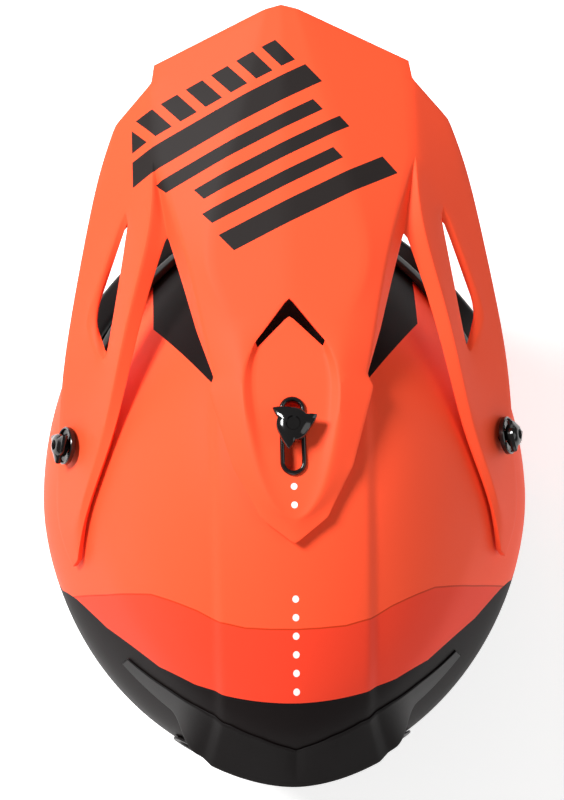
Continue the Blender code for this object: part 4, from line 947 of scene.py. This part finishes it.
for weight, lines in PEAK_CREASES.items():
    for line in lines:
        names = line.split()
        for pair in zip(names, names[1:]):
            edge = bm.edges.get([corner[name] for name in pair])
            if edge:
                edge[crease] = weight
bmesh.ops.mirror(bm, geom=bm.verts[:] + bm.edges[:] + bm.faces[:], axis="X", merge_dist=1e-4)
bmesh.ops.recalc_face_normals(bm, faces=bm.faces[:])
if sum(face.normal.z for face in bm.faces) < 0:
    bmesh.ops.reverse_faces(bm, faces=bm.faces[:])
print("cage of", len(bm.faces), "faces")

# %% Smooth it, give it a wall, and cut the slot and the arm holes
SLOT_LENGTH, SLOT_WIDTH, SLOT_Y, SHAFT_HOLE = 33.3, 8.5, 21.0, 3.3
TOOL_HEIGHTS = (240.0, 300.0)


def stadium(t, grow=0.0):
    """A point and its outward direction on the slot's outline."""
    x, y = math.cos(t), math.sin(t)
    straight = (SLOT_LENGTH - SLOT_WIDTH) / 2
    half = SLOT_WIDTH / 2 + grow
    return Vector((x * half, y * half + math.copysign(straight, y) + SLOT_Y, 0.0)), Vector((x, y, 0.0))


def slot_tool():
    """A tall closed prism on the slot's outline, a little wider than the slot."""
    def place(u, v):
        row = round(v * 3)
        height = TOOL_HEIGHTS[row > 1]
        p, _ = stadium(2 * math.pi * u + 0.03, 0.9)
        return Vector((0.0, SLOT_Y, height)) if row in (0, 3) else Vector((p.x, p.y, height))
    return wrap(48, 3, place)


peak = plain_object("peak_moulding", bm)
smooth = peak.modifiers.new("smooth", "SUBSURF")
smooth.levels = smooth.render_levels = 3
wall = peak.modifiers.new("wall", "SOLIDIFY")
wall.thickness, wall.offset, wall.use_even_offset = PEAK_WALL * MM, -1.0, True
bake(peak)
SIDES = {side: SPOTS["side_" + side + "_screw_turn"] for side in ("left", "right")}
tools = [slot_tool()]
for spot in SIDES.values():
    tools.append(on_axis(lathe(((0.0, -2.0), (SHAFT_HOLE, -2.0), (SHAFT_HOLE, 30.0), (0.0, 30.0))), *spot))
carve(peak, *tools)
finish(peak, "peak", PEAK_PAINT, "peak", ("peak",), sharp=32.0, bevel=0.45)

# %% [markdown]
# ## Screws and their fittings
# Three wing knobs clamp the peak, one through the slot on the crown and one at each temple. A
# knob is a low round hub with three swept wings, made as one round body whose radius swells at
# the wings. A gloss grommet lines the slot, and each side knob sits in a shallow gloss cup.

# %% Slot grommet
def floor_height(y):
    """Height of the scoop's floor on the middle line."""
    line = [CAGE[name] for name in ("k0", "g1", "g2", "g3", "g4")]
    for (_, y0, z0), (_, y1, z1) in zip(line, line[1:]):
        if y <= y1:
            return z0 + (z1 - z0) * (y - y0) / (y1 - y0)
    return line[-1][2]


frames = []
for k in range(96):
    point, out = stadium(2 * math.pi * (k + 0.5) / 96)
    frames.append((Vector((point.x, point.y, floor_height(point.y) + 0.6)), out, Vector((0, 0, 1))))
GROMMET = rounded(((-0.2, 1.1), (0.4, 1.6), (1.4, 1.5), (2.0, 0.4), (1.9, 0.0), (0.65, 0.0), (0.65, -3.0),
                   (-0.2, -3.0)))
piece("slot_grommet", sweep(frames, GROMMET), "peak", GLOSS_NYLON, "knobs", ("peak_slot_bezel",))


# %% Wing knobs
def blade(t):
    """0 on the hub and 1 at the swept tip of each of the three wings."""
    share = t / (2 * math.pi / 3) % 1.0
    if share < 0.5:
        return max(0.0, (share - 0.06) / 0.44) ** 1.8
    return max(0.0, 1 - (share - 0.5) / 0.12)


def knob(hub, wing, seat, thick, reach=5.0, shaft=2.5):
    """Rows of radius, height and how far the wings stand out at that row."""
    top = seat + thick
    rows = ((0.0, -reach, 0), (shaft, -reach, 0), (shaft, seat, 0), (hub * 0.92, seat, 0),
            (hub, seat + 0.3, 0), (hub, seat + 1.4, 0), (hub, seat + 1.7, 0.9), (hub, seat + 2.4, 1.0),
            (hub, top - 0.8, 1.0), (hub * 0.97, top - 0.2, 0.93), (hub * 0.9, top, 0.5),
            (hub * 0.8, top + 0.7, 0), (hub * 0.55, top + 1.2, 0), (hub * 0.45, top + 1.2, 0),
            (hub * 0.38, top + 0.2, 0), (0.0, top, 0))

    def place(u, v):
        base, z, share = rows[round(v * (len(rows) - 1))]
        t = 2 * math.pi * u
        r = base + (wing - hub) * blade(t) * share
        return Vector((r * math.cos(t), r * math.sin(t), z))
    return wrap(216, len(rows) - 1, place)


CENTRE_SEAT, SIDE_SEAT, CUP_RADIUS, WASHER_WALL, WASHER_GAP = 12.4, 10.8, 9.4, 1.1, 1.1
bm = on_axis(knob(7.8, 12.3, CENTRE_SEAT, 5.0), *SPOTS["centre_screw_turn"], math.radians(20))
piece("crown_wing_knob", bm, "centre_screw", GLOSS_NYLON, "knobs", ("centre_thumb_screw",), sharp=50.0)
for side, (place, axis) in SIDES.items():
    bm = on_axis(knob(5.6, 9.2, SIDE_SEAT, 4.6), place, axis, math.radians(20))
    piece(side + "_wing_knob", bm, "side_%s_screw" % side, GLOSS_NYLON, "knobs",
          ("side_%s_thumb_screw" % side,), sharp=50.0)
    top = SIDE_SEAT - WASHER_GAP
    cup = ((SHAFT_HOLE, top - WASHER_WALL), (8.6, top - WASHER_WALL), (CUP_RADIUS, top - 0.6),
           (CUP_RADIUS, top + 1.3), (CUP_RADIUS - 0.4, top + 1.7), (CUP_RADIUS - 0.9, top + 1.5),
           (CUP_RADIUS - 1.2, top + 0.2),
           (7.6, top - 0.2), (3.6, top - 0.2), (SHAFT_HOLE, top - 0.4),
           (SHAFT_HOLE, top - WASHER_WALL))
    piece(side + "_knob_cup", on_axis(lathe(cup, 72), place, axis), "peak", GLOSS_NYLON, "edging",
          ("side_%s_washer" % side,))

for name in ("centre_thread_insert", "side_left_thread_insert", "side_right_thread_insert"):
    dress(name, BRASS)

# %% [markdown]
# ## Foam inside
# Under the shell lies the impact liner of pressed beads, and inside the chin bar a second one.
# Their CAD solids have the right shape, so they stay and only get their finish. The nose guard
# is a soft rubber lip that keeps breath off the goggles.

# %% Foam, plates and nose guard
for name, look in (("impact_liner", BEAD_FOAM), ("chin_liner", BEAD_FOAM), ("cheek_plate_left", SATIN_ABS),
                   ("cheek_plate_right", SATIN_ABS)):
    dress(name, look)


def guard_place(u, v):
    """A lip across the chin bar: up its outside, over, and down its inside."""
    over = v < 0.5
    rise = v * 2 if over else 2 - v * 2
    edge = (2 * u - 1) ** 4
    top = 118.0 - 18.0 * abs(2 * u - 1) ** 1.5 + 4.0 * math.exp(-((2 * u - 1) / 0.2) ** 2)
    depth = 24.0 + 2.0 * edge + (0.0 if over else 2.6 - 1.2 * rise) + 0.35 * math.cos(rise * 30.0)
    return under_skin(level_at_height(72.0 + (top - 72.0) * rise), math.radians(-112.0 + 44.0 * u), depth)


piece("nose_guard_lip", capped(wrap(72, 36, guard_place)), "helmet", SOFT_RUBBER, "edging",
      ("nose_guard",), sharp=60.0)

# %% [markdown]
# ## Padding
# The crown pad, the cheek pads and the neck roll are foam in a sewn cover. Foam swells between
# its seams, so each pad starts as its CAD solid, is remeshed into even small faces, and is
# inflated as cloth with a little pressure and no gravity. A cap keeps a point near where it
# began. Seams come after that: the cover is drawn in along each seam line.

# %% Inflate a pad
def remeshed(name, source, voxel_mm, shrink_mm):
    """An even, slightly smaller copy of a CAD solid."""
    bm = bmesh.new()
    bm.from_mesh(NODES[source].data)
    bmesh.ops.remove_doubles(bm, verts=bm.verts[:], dist=1e-6)
    bmesh.ops.scale(bm, vec=(1 / MM, 1 / MM, 1 / MM), verts=bm.verts[:])
    bmesh.ops.translate(bm, vec=-HEAD, verts=bm.verts[:])
    obj = plain_object(name, bm)
    even = obj.modifiers.new("even", "REMESH")
    even.mode, even.voxel_size = "VOXEL", voxel_mm * MM
    soft = obj.modifiers.new("soft", "SMOOTH")
    soft.factor, soft.iterations = 0.5, 8
    bake(obj)
    normals = [vert.normal.copy() for vert in obj.data.vertices]
    for vert, normal in zip(obj.data.vertices, normals):
        vert.co -= normal * shrink_mm * MM
    return obj


def inflate(obj, pressure, cap_mm, frames=20):
    """Runs Cloth with pressure, then moves each point no further than the cap."""
    before = [vert.co.copy() for vert in obj.data.vertices]
    cloth = obj.modifiers.new("cloth", "CLOTH")
    cloth.settings.use_pressure = True
    cloth.settings.uniform_pressure_force = pressure
    cloth.settings.effector_weights.gravity = 0.0
    cloth.settings.quality = 4
    cloth.point_cache.frame_start, cloth.point_cache.frame_end = 1, frames
    scene = bpy.context.scene
    for number in range(1, frames + 1):
        scene.frame_set(number)
    result = obj.evaluated_get(bpy.context.evaluated_depsgraph_get()).data
    after = [vert.co.copy() for vert in result.vertices]
    obj.modifiers.remove(cloth)
    scene.frame_set(1)
    for vert, start, end in zip(obj.data.vertices, before, after):
        move = end - start
        vert.co = start + move * min(1.0, cap_mm * MM / max(move.length, 1e-9))


def draw_in(obj, seam, depth_mm, width_mm):
    """Pulls the cover in along seams; seam(point in mm) gives the distance to the nearest one."""
    moves = []
    for vert in obj.data.vertices:
        distance = seam(vert.co / MM - HEAD)
        moves.append(vert.normal * depth_mm * MM * math.exp(-(distance / width_mm) ** 2))
    for vert, move in zip(obj.data.vertices, moves):
        vert.co -= move


SEAM_DEPTH, SEAM_WIDTH = 1.6, 1.8


def pad(name, source, look, voxel_mm, cap_mm, seam, pressure=4.0):
    """One sewn pad from its CAD solid: remeshed, inflated, smoothed, then drawn in at its seams."""
    obj = remeshed(name, source, voxel_mm, 0.8)
    inflate(obj, pressure, cap_mm)
    calm = obj.modifiers.new("calm", "SMOOTH")
    calm.factor, calm.iterations = 0.5, 6
    finer = obj.modifiers.new("finer", "SUBSURF")
    finer.levels = finer.render_levels = 1
    bake(obj)
    draw_in(obj, seam, SEAM_DEPTH, SEAM_WIDTH)
    finish(obj, "helmet", look, "pads", (source,), sharp=80.0)
    return obj


def crown_seams(p):
    """Two seams fore and aft, and three across."""
    return min(abs(abs(p.x) - 26.0), min(abs(p.y - y) for y in (-38.0, 12.0, 62.0)))


pad("crown_cushion", "crown_pad", KNIT_GREY, 4.0, 2.5, crown_seams)
for side in ("left", "right"):
    low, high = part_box("cheek_pad_" + side)
    middle = (low + high) / 2 / MM - HEAD

    def cheek_seams(p, middle=middle):
        """A line across at mid height, and one rounded line inside the edge."""
        y, z = p.y - middle.y, p.z - middle.z
        return min(abs(z + 0.12 * y), abs(math.hypot(y, z / 1.35) - 26.0))
    pad("cheek_cushion_" + side, "cheek_pad_" + side, KNIT, 4.0, 5.0, cheek_seams)


CHANNEL, ROLL_RADIUS, ROLL_Y = math.radians(18.0), 90.0, 10.0


def roll_seams(p):
    """A ring of stitched channels."""
    turn = math.atan2(p.y - ROLL_Y, p.x)
    return abs((turn + CHANNEL / 2) % CHANNEL - CHANNEL / 2) * ROLL_RADIUS


pad("neck_cushion", "neck_roll", KNIT, 4.0, 3.0, roll_seams)

# %% [markdown]
# ## Chin strap
# A webbing tab is riveted to the shell on each side. The long webbing goes down one side, under
# the chin, and doubles back through two wire rings that a short webbing holds. Padded sleeves
# cover the parts that touch the jaw. Webbing is laid as a grid along its path, so its UV map
# carries the weave.

# %% Webbing
STRAP_WIDTH, STRAP_THICKNESS, STRAP_Y = 22.0, 1.8, 41.0
STRAP_HINGE_X, STRAP_HINGE_Z, STRAP_LOW_Z = 67.0, 56.0, 9.0
RING_WIRE, BOW_DEPTH, SLEEVE_WALL = 1.6, 9.0, 2.2


def smooth_path(points, steps):
    """A Catmull-Rom curve through the points."""
    path = []
    for i in range(len(points) - 1):
        a, b, c, d = (Vector(points[min(max(i + k, 0), len(points) - 1)]) for k in (-1, 0, 1, 2))
        for n in range(steps):
            t = n / steps
            path.append(0.5 * (2 * b + (c - a) * t + (2 * a - 5 * b + 4 * c - d) * t * t
                               + (3 * b - a - 3 * c + d) * t ** 3))
    return path + [Vector(points[-1])]


def strip_frames(path):
    """Points of an (x, z) path with the direction across the strip's face."""
    frames = []
    for i, p in enumerate(path):
        along = (path[min(i + 1, len(path) - 1)] - path[max(i - 1, 0)]).normalized()
        frames.append((Vector((p.x, STRAP_Y, p.y)), Vector((-along.y, 0.0, along.x))))
    return frames


def ribbon(path, half_width=STRAP_WIDTH / 2, half_thick=STRAP_THICKNESS / 2):
    """Flat webbing with rounded selvedges, closed at both ends."""
    frames = strip_frames(path)
    section = []
    for k in range(24):
        t = 2 * math.pi * k / 24
        section.append((half_width * signed_power(math.cos(t), 0.35),
                        half_thick * signed_power(math.sin(t), 0.6)))

    def place(u, v):
        point, across = frames[round(v * (len(frames) - 1))]
        width, thick = section[round(u * 24) % 24]
        return point + Vector((0, width, 0)) + across * thick
    bm = wrap(24, len(frames) - 1, place)
    uv = bm.loops.layers.uv.active
    length = sum((b - a).length for a, b in zip(path, path[1:]))
    for face in bm.faces:
        for loop in face.loops:
            loop[uv].uv.y *= length
    return capped(bm)


low = STRAP_LOW_Z
RIGHT = smooth_path([(-STRAP_HINGE_X, STRAP_HINGE_Z), (-56.0, 38.0), (-38.0, low + 10.0),
                     (-12.0, low + 1.5), (8.0, low + 2.0), (20.0, low + 7.5), (27.3, low + 16.0),
                     (28.5, low + 24.0), (25.5, low + 29.5), (19.0, low + 28.8), (11.0, low + 22.0),
                     (3.0, low + 12.5), (-8.0, low + 6.0), (-22.0, low + 7.6)], 10)
LEFT = smooth_path([(STRAP_HINGE_X, STRAP_HINGE_Z), (61.0, 44.0), (52.0, 34.5), (43.5, 30.4), (37.6, 30.6),
                    (33.6, 36.4), (37.6, 42.2), (44.0, 42.0), (49.0, 43.4), (53.5, 47.0)], 10)
piece("long_webbing", ribbon(RIGHT), "chin_strap", WEBBING, "webbing", ("strap_long",), sharp=60.0)
piece("short_webbing", ribbon(LEFT), "chin_strap", WEBBING, "webbing", ("strap_short",), sharp=60.0)
RIVET = ((0.0, 1.3), (4.6, 1.3), (5.0, 1.5), (4.7, 2.0), (3.4, 2.7), (1.6, 3.0), (0.0, 3.05))
for sign, side in ((1, "left"), (-1, "right")):
    anchor_z = STRAP_HINGE_Z + 14.0
    wall_x = side_x(STRAP_Y + STRAP_WIDTH / 2, anchor_z) - SHELL_WALL - 5.0
    path = smooth_path([(sign * wall_x, anchor_z + 9.0), (sign * wall_x, anchor_z - 2.0),
                        (sign * (wall_x - 8.0), anchor_z - 10.0),
                        (sign * (STRAP_HINGE_X + 1.5), STRAP_HINGE_Z + 1.0)], 10)
    piece("strap_anchor_" + side, ribbon(path), "helmet", WEBBING, "webbing", ("strap_tab_" + side,),
          sharp=60.0)
    bm = on_axis(lathe(RIVET, 40), (sign * wall_x, STRAP_Y, anchor_z + 4.0), (-sign, 0, 0))
    piece("rivet_" + side, bm, "helmet", STEEL, "buckle", ("strap_rivet_" + side,))


# %% Padded sleeves, rings and snap
def sleeve(path):
    """A quilted tube around the webbing: crowned outside, and closed on a plain inside."""
    frames = strip_frames(path)
    count = len(frames) - 1

    def place(u, v):
        t = 2 * math.pi * u
        inside = v > 0.5
        step = round((1 - v if inside else v) * 2 * count)
        point, across = frames[min(step, count)]
        share = step / count
        puff = 0.72 + 0.28 * abs(math.sin(3 * math.pi * share)) ** 0.5
        grow = 0.0 if inside else SLEEVE_WALL * puff * (1 - 0.5 * (2 * share - 1) ** 8)
        width = (STRAP_WIDTH / 2 + 0.4 + grow) * signed_power(math.cos(t), 0.4)
        thick = (STRAP_THICKNESS / 2 + 0.4 + grow) * signed_power(math.sin(t), 0.6)
        return point + Vector((0, width, 0)) + across * thick
    return wrap(40, 2 * count, place)


for side, path in (("right", RIGHT[5:21]), ("left", LEFT[5:13])):
    obj = piece("sleeve_cushion_" + side, sleeve(path), "chin_strap", KNIT, "pads",
                ("strap_sleeve_" + side,), sharp=70.0)


def wire_ring(bar, end):
    """A D-shaped ring: a straight bar at one (x, z) spot, and a bow that reaches to another."""
    start, reach = Vector((bar[0], 0.0, bar[1])), Vector((end[0] - bar[0], 0.0, end[1] - bar[1]))
    along = reach.normalized()
    up = along.cross(Vector((0, 1, 0)))
    half = STRAP_WIDTH / 2 + RING_WIRE + 0.7
    bow = reach.length - BOW_DEPTH
    outline = [(0.0, half * k / 6) for k in range(-6, 7)] + [(bow * k / 5, half) for k in range(1, 5)]
    turns = [math.pi / 2 - math.pi * k / 24 for k in range(25)]
    outline += [(bow + BOW_DEPTH * math.cos(t), half * math.sin(t)) for t in turns]
    outline += [(bow * k / 5, -half) for k in range(4, 0, -1)]
    places = [start + along * a + Vector((0, STRAP_Y + b, 0)) for a, b in outline]
    frames = []
    for k, place in enumerate(places):
        tangent = (places[(k + 1) % len(places)] - places[k - 1]).normalized()
        frames.append((place, tangent.cross(up).normalized(), up))
    turns = [2 * math.pi * k / 16 for k in range(16)]
    return sweep(frames, [Vector((math.cos(t), math.sin(t))) * RING_WIRE for t in turns])


for name, bar, end in (("inner", (38.6, 34.3), (18.0, 24.3)), ("outer", (38.9, 38.6), (18.0, 31.6))):
    piece("wire_ring_" + name, wire_ring(bar, end), "chin_strap", STEEL, "buckle", ("d_ring_" + name,),
          sharp=60.0)
SNAP = ((0.0, 0.0), (4.2, 0.0), (4.5, 0.4), (4.4, 1.2), (3.2, 1.9), (2.4, 1.5), (0.0, 1.5))
bm = on_axis(lathe(SNAP, 40), (-16.0, STRAP_Y, low + 8.9), (0, 0, 1))
piece("snap_button", bm, "chin_strap", GLOSS_NYLON, "knobs", ("strap_snap",))

# %% [markdown]
# ## Camera, light and floor
# The camera looks down from above and a little behind, with a long lens. A broad soft light
# stands over the front left, a weaker one fills the right, and the pale floor, lit from below
# like a light table, keeps its own shadows faint.

# %% Camera
VIEW_TARGET, VIEW_DISTANCE, VIEW_ELEVATION = Vector((0.0, 0.0215, 0.210)), 1.5, math.radians(78)
VIEW_SIDEWAYS = 1 / 30
LENS_MM, SHIFT_X, SHIFT_Y, VIEW_ROLL = 137.7551, -0.00875, 0.068, math.radians(-1.75)
camera = bpy.data.objects.new("camera", bpy.data.cameras.new("camera"))
bpy.context.scene.collection.objects.link(camera)
bpy.context.scene.camera = camera
toward_eye = Vector((VIEW_SIDEWAYS, math.cos(VIEW_ELEVATION), math.sin(VIEW_ELEVATION)))
eye = VIEW_TARGET + VIEW_DISTANCE * toward_eye
look = (VIEW_TARGET - eye).normalized()
right = look.cross(Vector((0, -1, 0))).normalized()
aim = Matrix((right, right.cross(look), -look)).transposed().to_4x4()
camera.matrix_world = Matrix.Translation(eye) @ aim @ Matrix.Rotation(VIEW_ROLL, 4, "Z")
camera.data.lens = LENS_MM
camera.data.shift_x, camera.data.shift_y = SHIFT_X, SHIFT_Y
camera.data.dof.use_dof = False
print("lens", round(camera.data.lens, 1), "mm")

# %% Light and floor
def area_light(name, place, target, size, power):
    data = bpy.data.lights.new(name, "AREA")
    data.shape, data.size, data.energy, data.color = "DISK", size, power, (1.0, 1.0, 1.0)
    lamp = bpy.data.objects.new(name, data)
    bpy.context.scene.collection.objects.link(lamp)
    lamp.location = place
    lamp.rotation_euler = (Vector(target) - Vector(place)).to_track_quat("-Z", "Y").to_euler()
    return lamp


area_light("key", (0.95, -0.4, 1.6), (0.0, 0.0, 0.2), 0.55, 46.0)
area_light("fill", (-1.2, 0.3, 1.3), (0.0, 0.0, 0.15), 1.2, 5.5)
area_light("back", (0.3, 1.5, 0.9), (0.0, 0.0, 0.15), 1.0, 3.0)
world = bpy.data.worlds.new("studio")
bpy.context.scene.world = world
world.use_nodes = True
world.node_tree.nodes["Background"].inputs["Color"].default_value = colour("#FFFFFF")
world.node_tree.nodes["Background"].inputs["Strength"].default_value = 0.2
bpy.context.scene.view_settings.view_transform = "Standard"
FLOOR, tree, shader = new_material("backlit white acrylic sheet", 0.9, "#F4F3F2", **{
    "Emission Color": colour("#FFFFFF"), "Emission Strength": 0.6})
bm = bmesh.new()
bmesh.ops.create_grid(bm, x_segments=2, y_segments=2, size=6000.0)
floor = plain_object("floor", bm)
floor.data.materials.append(FLOOR)
print("studio ready")
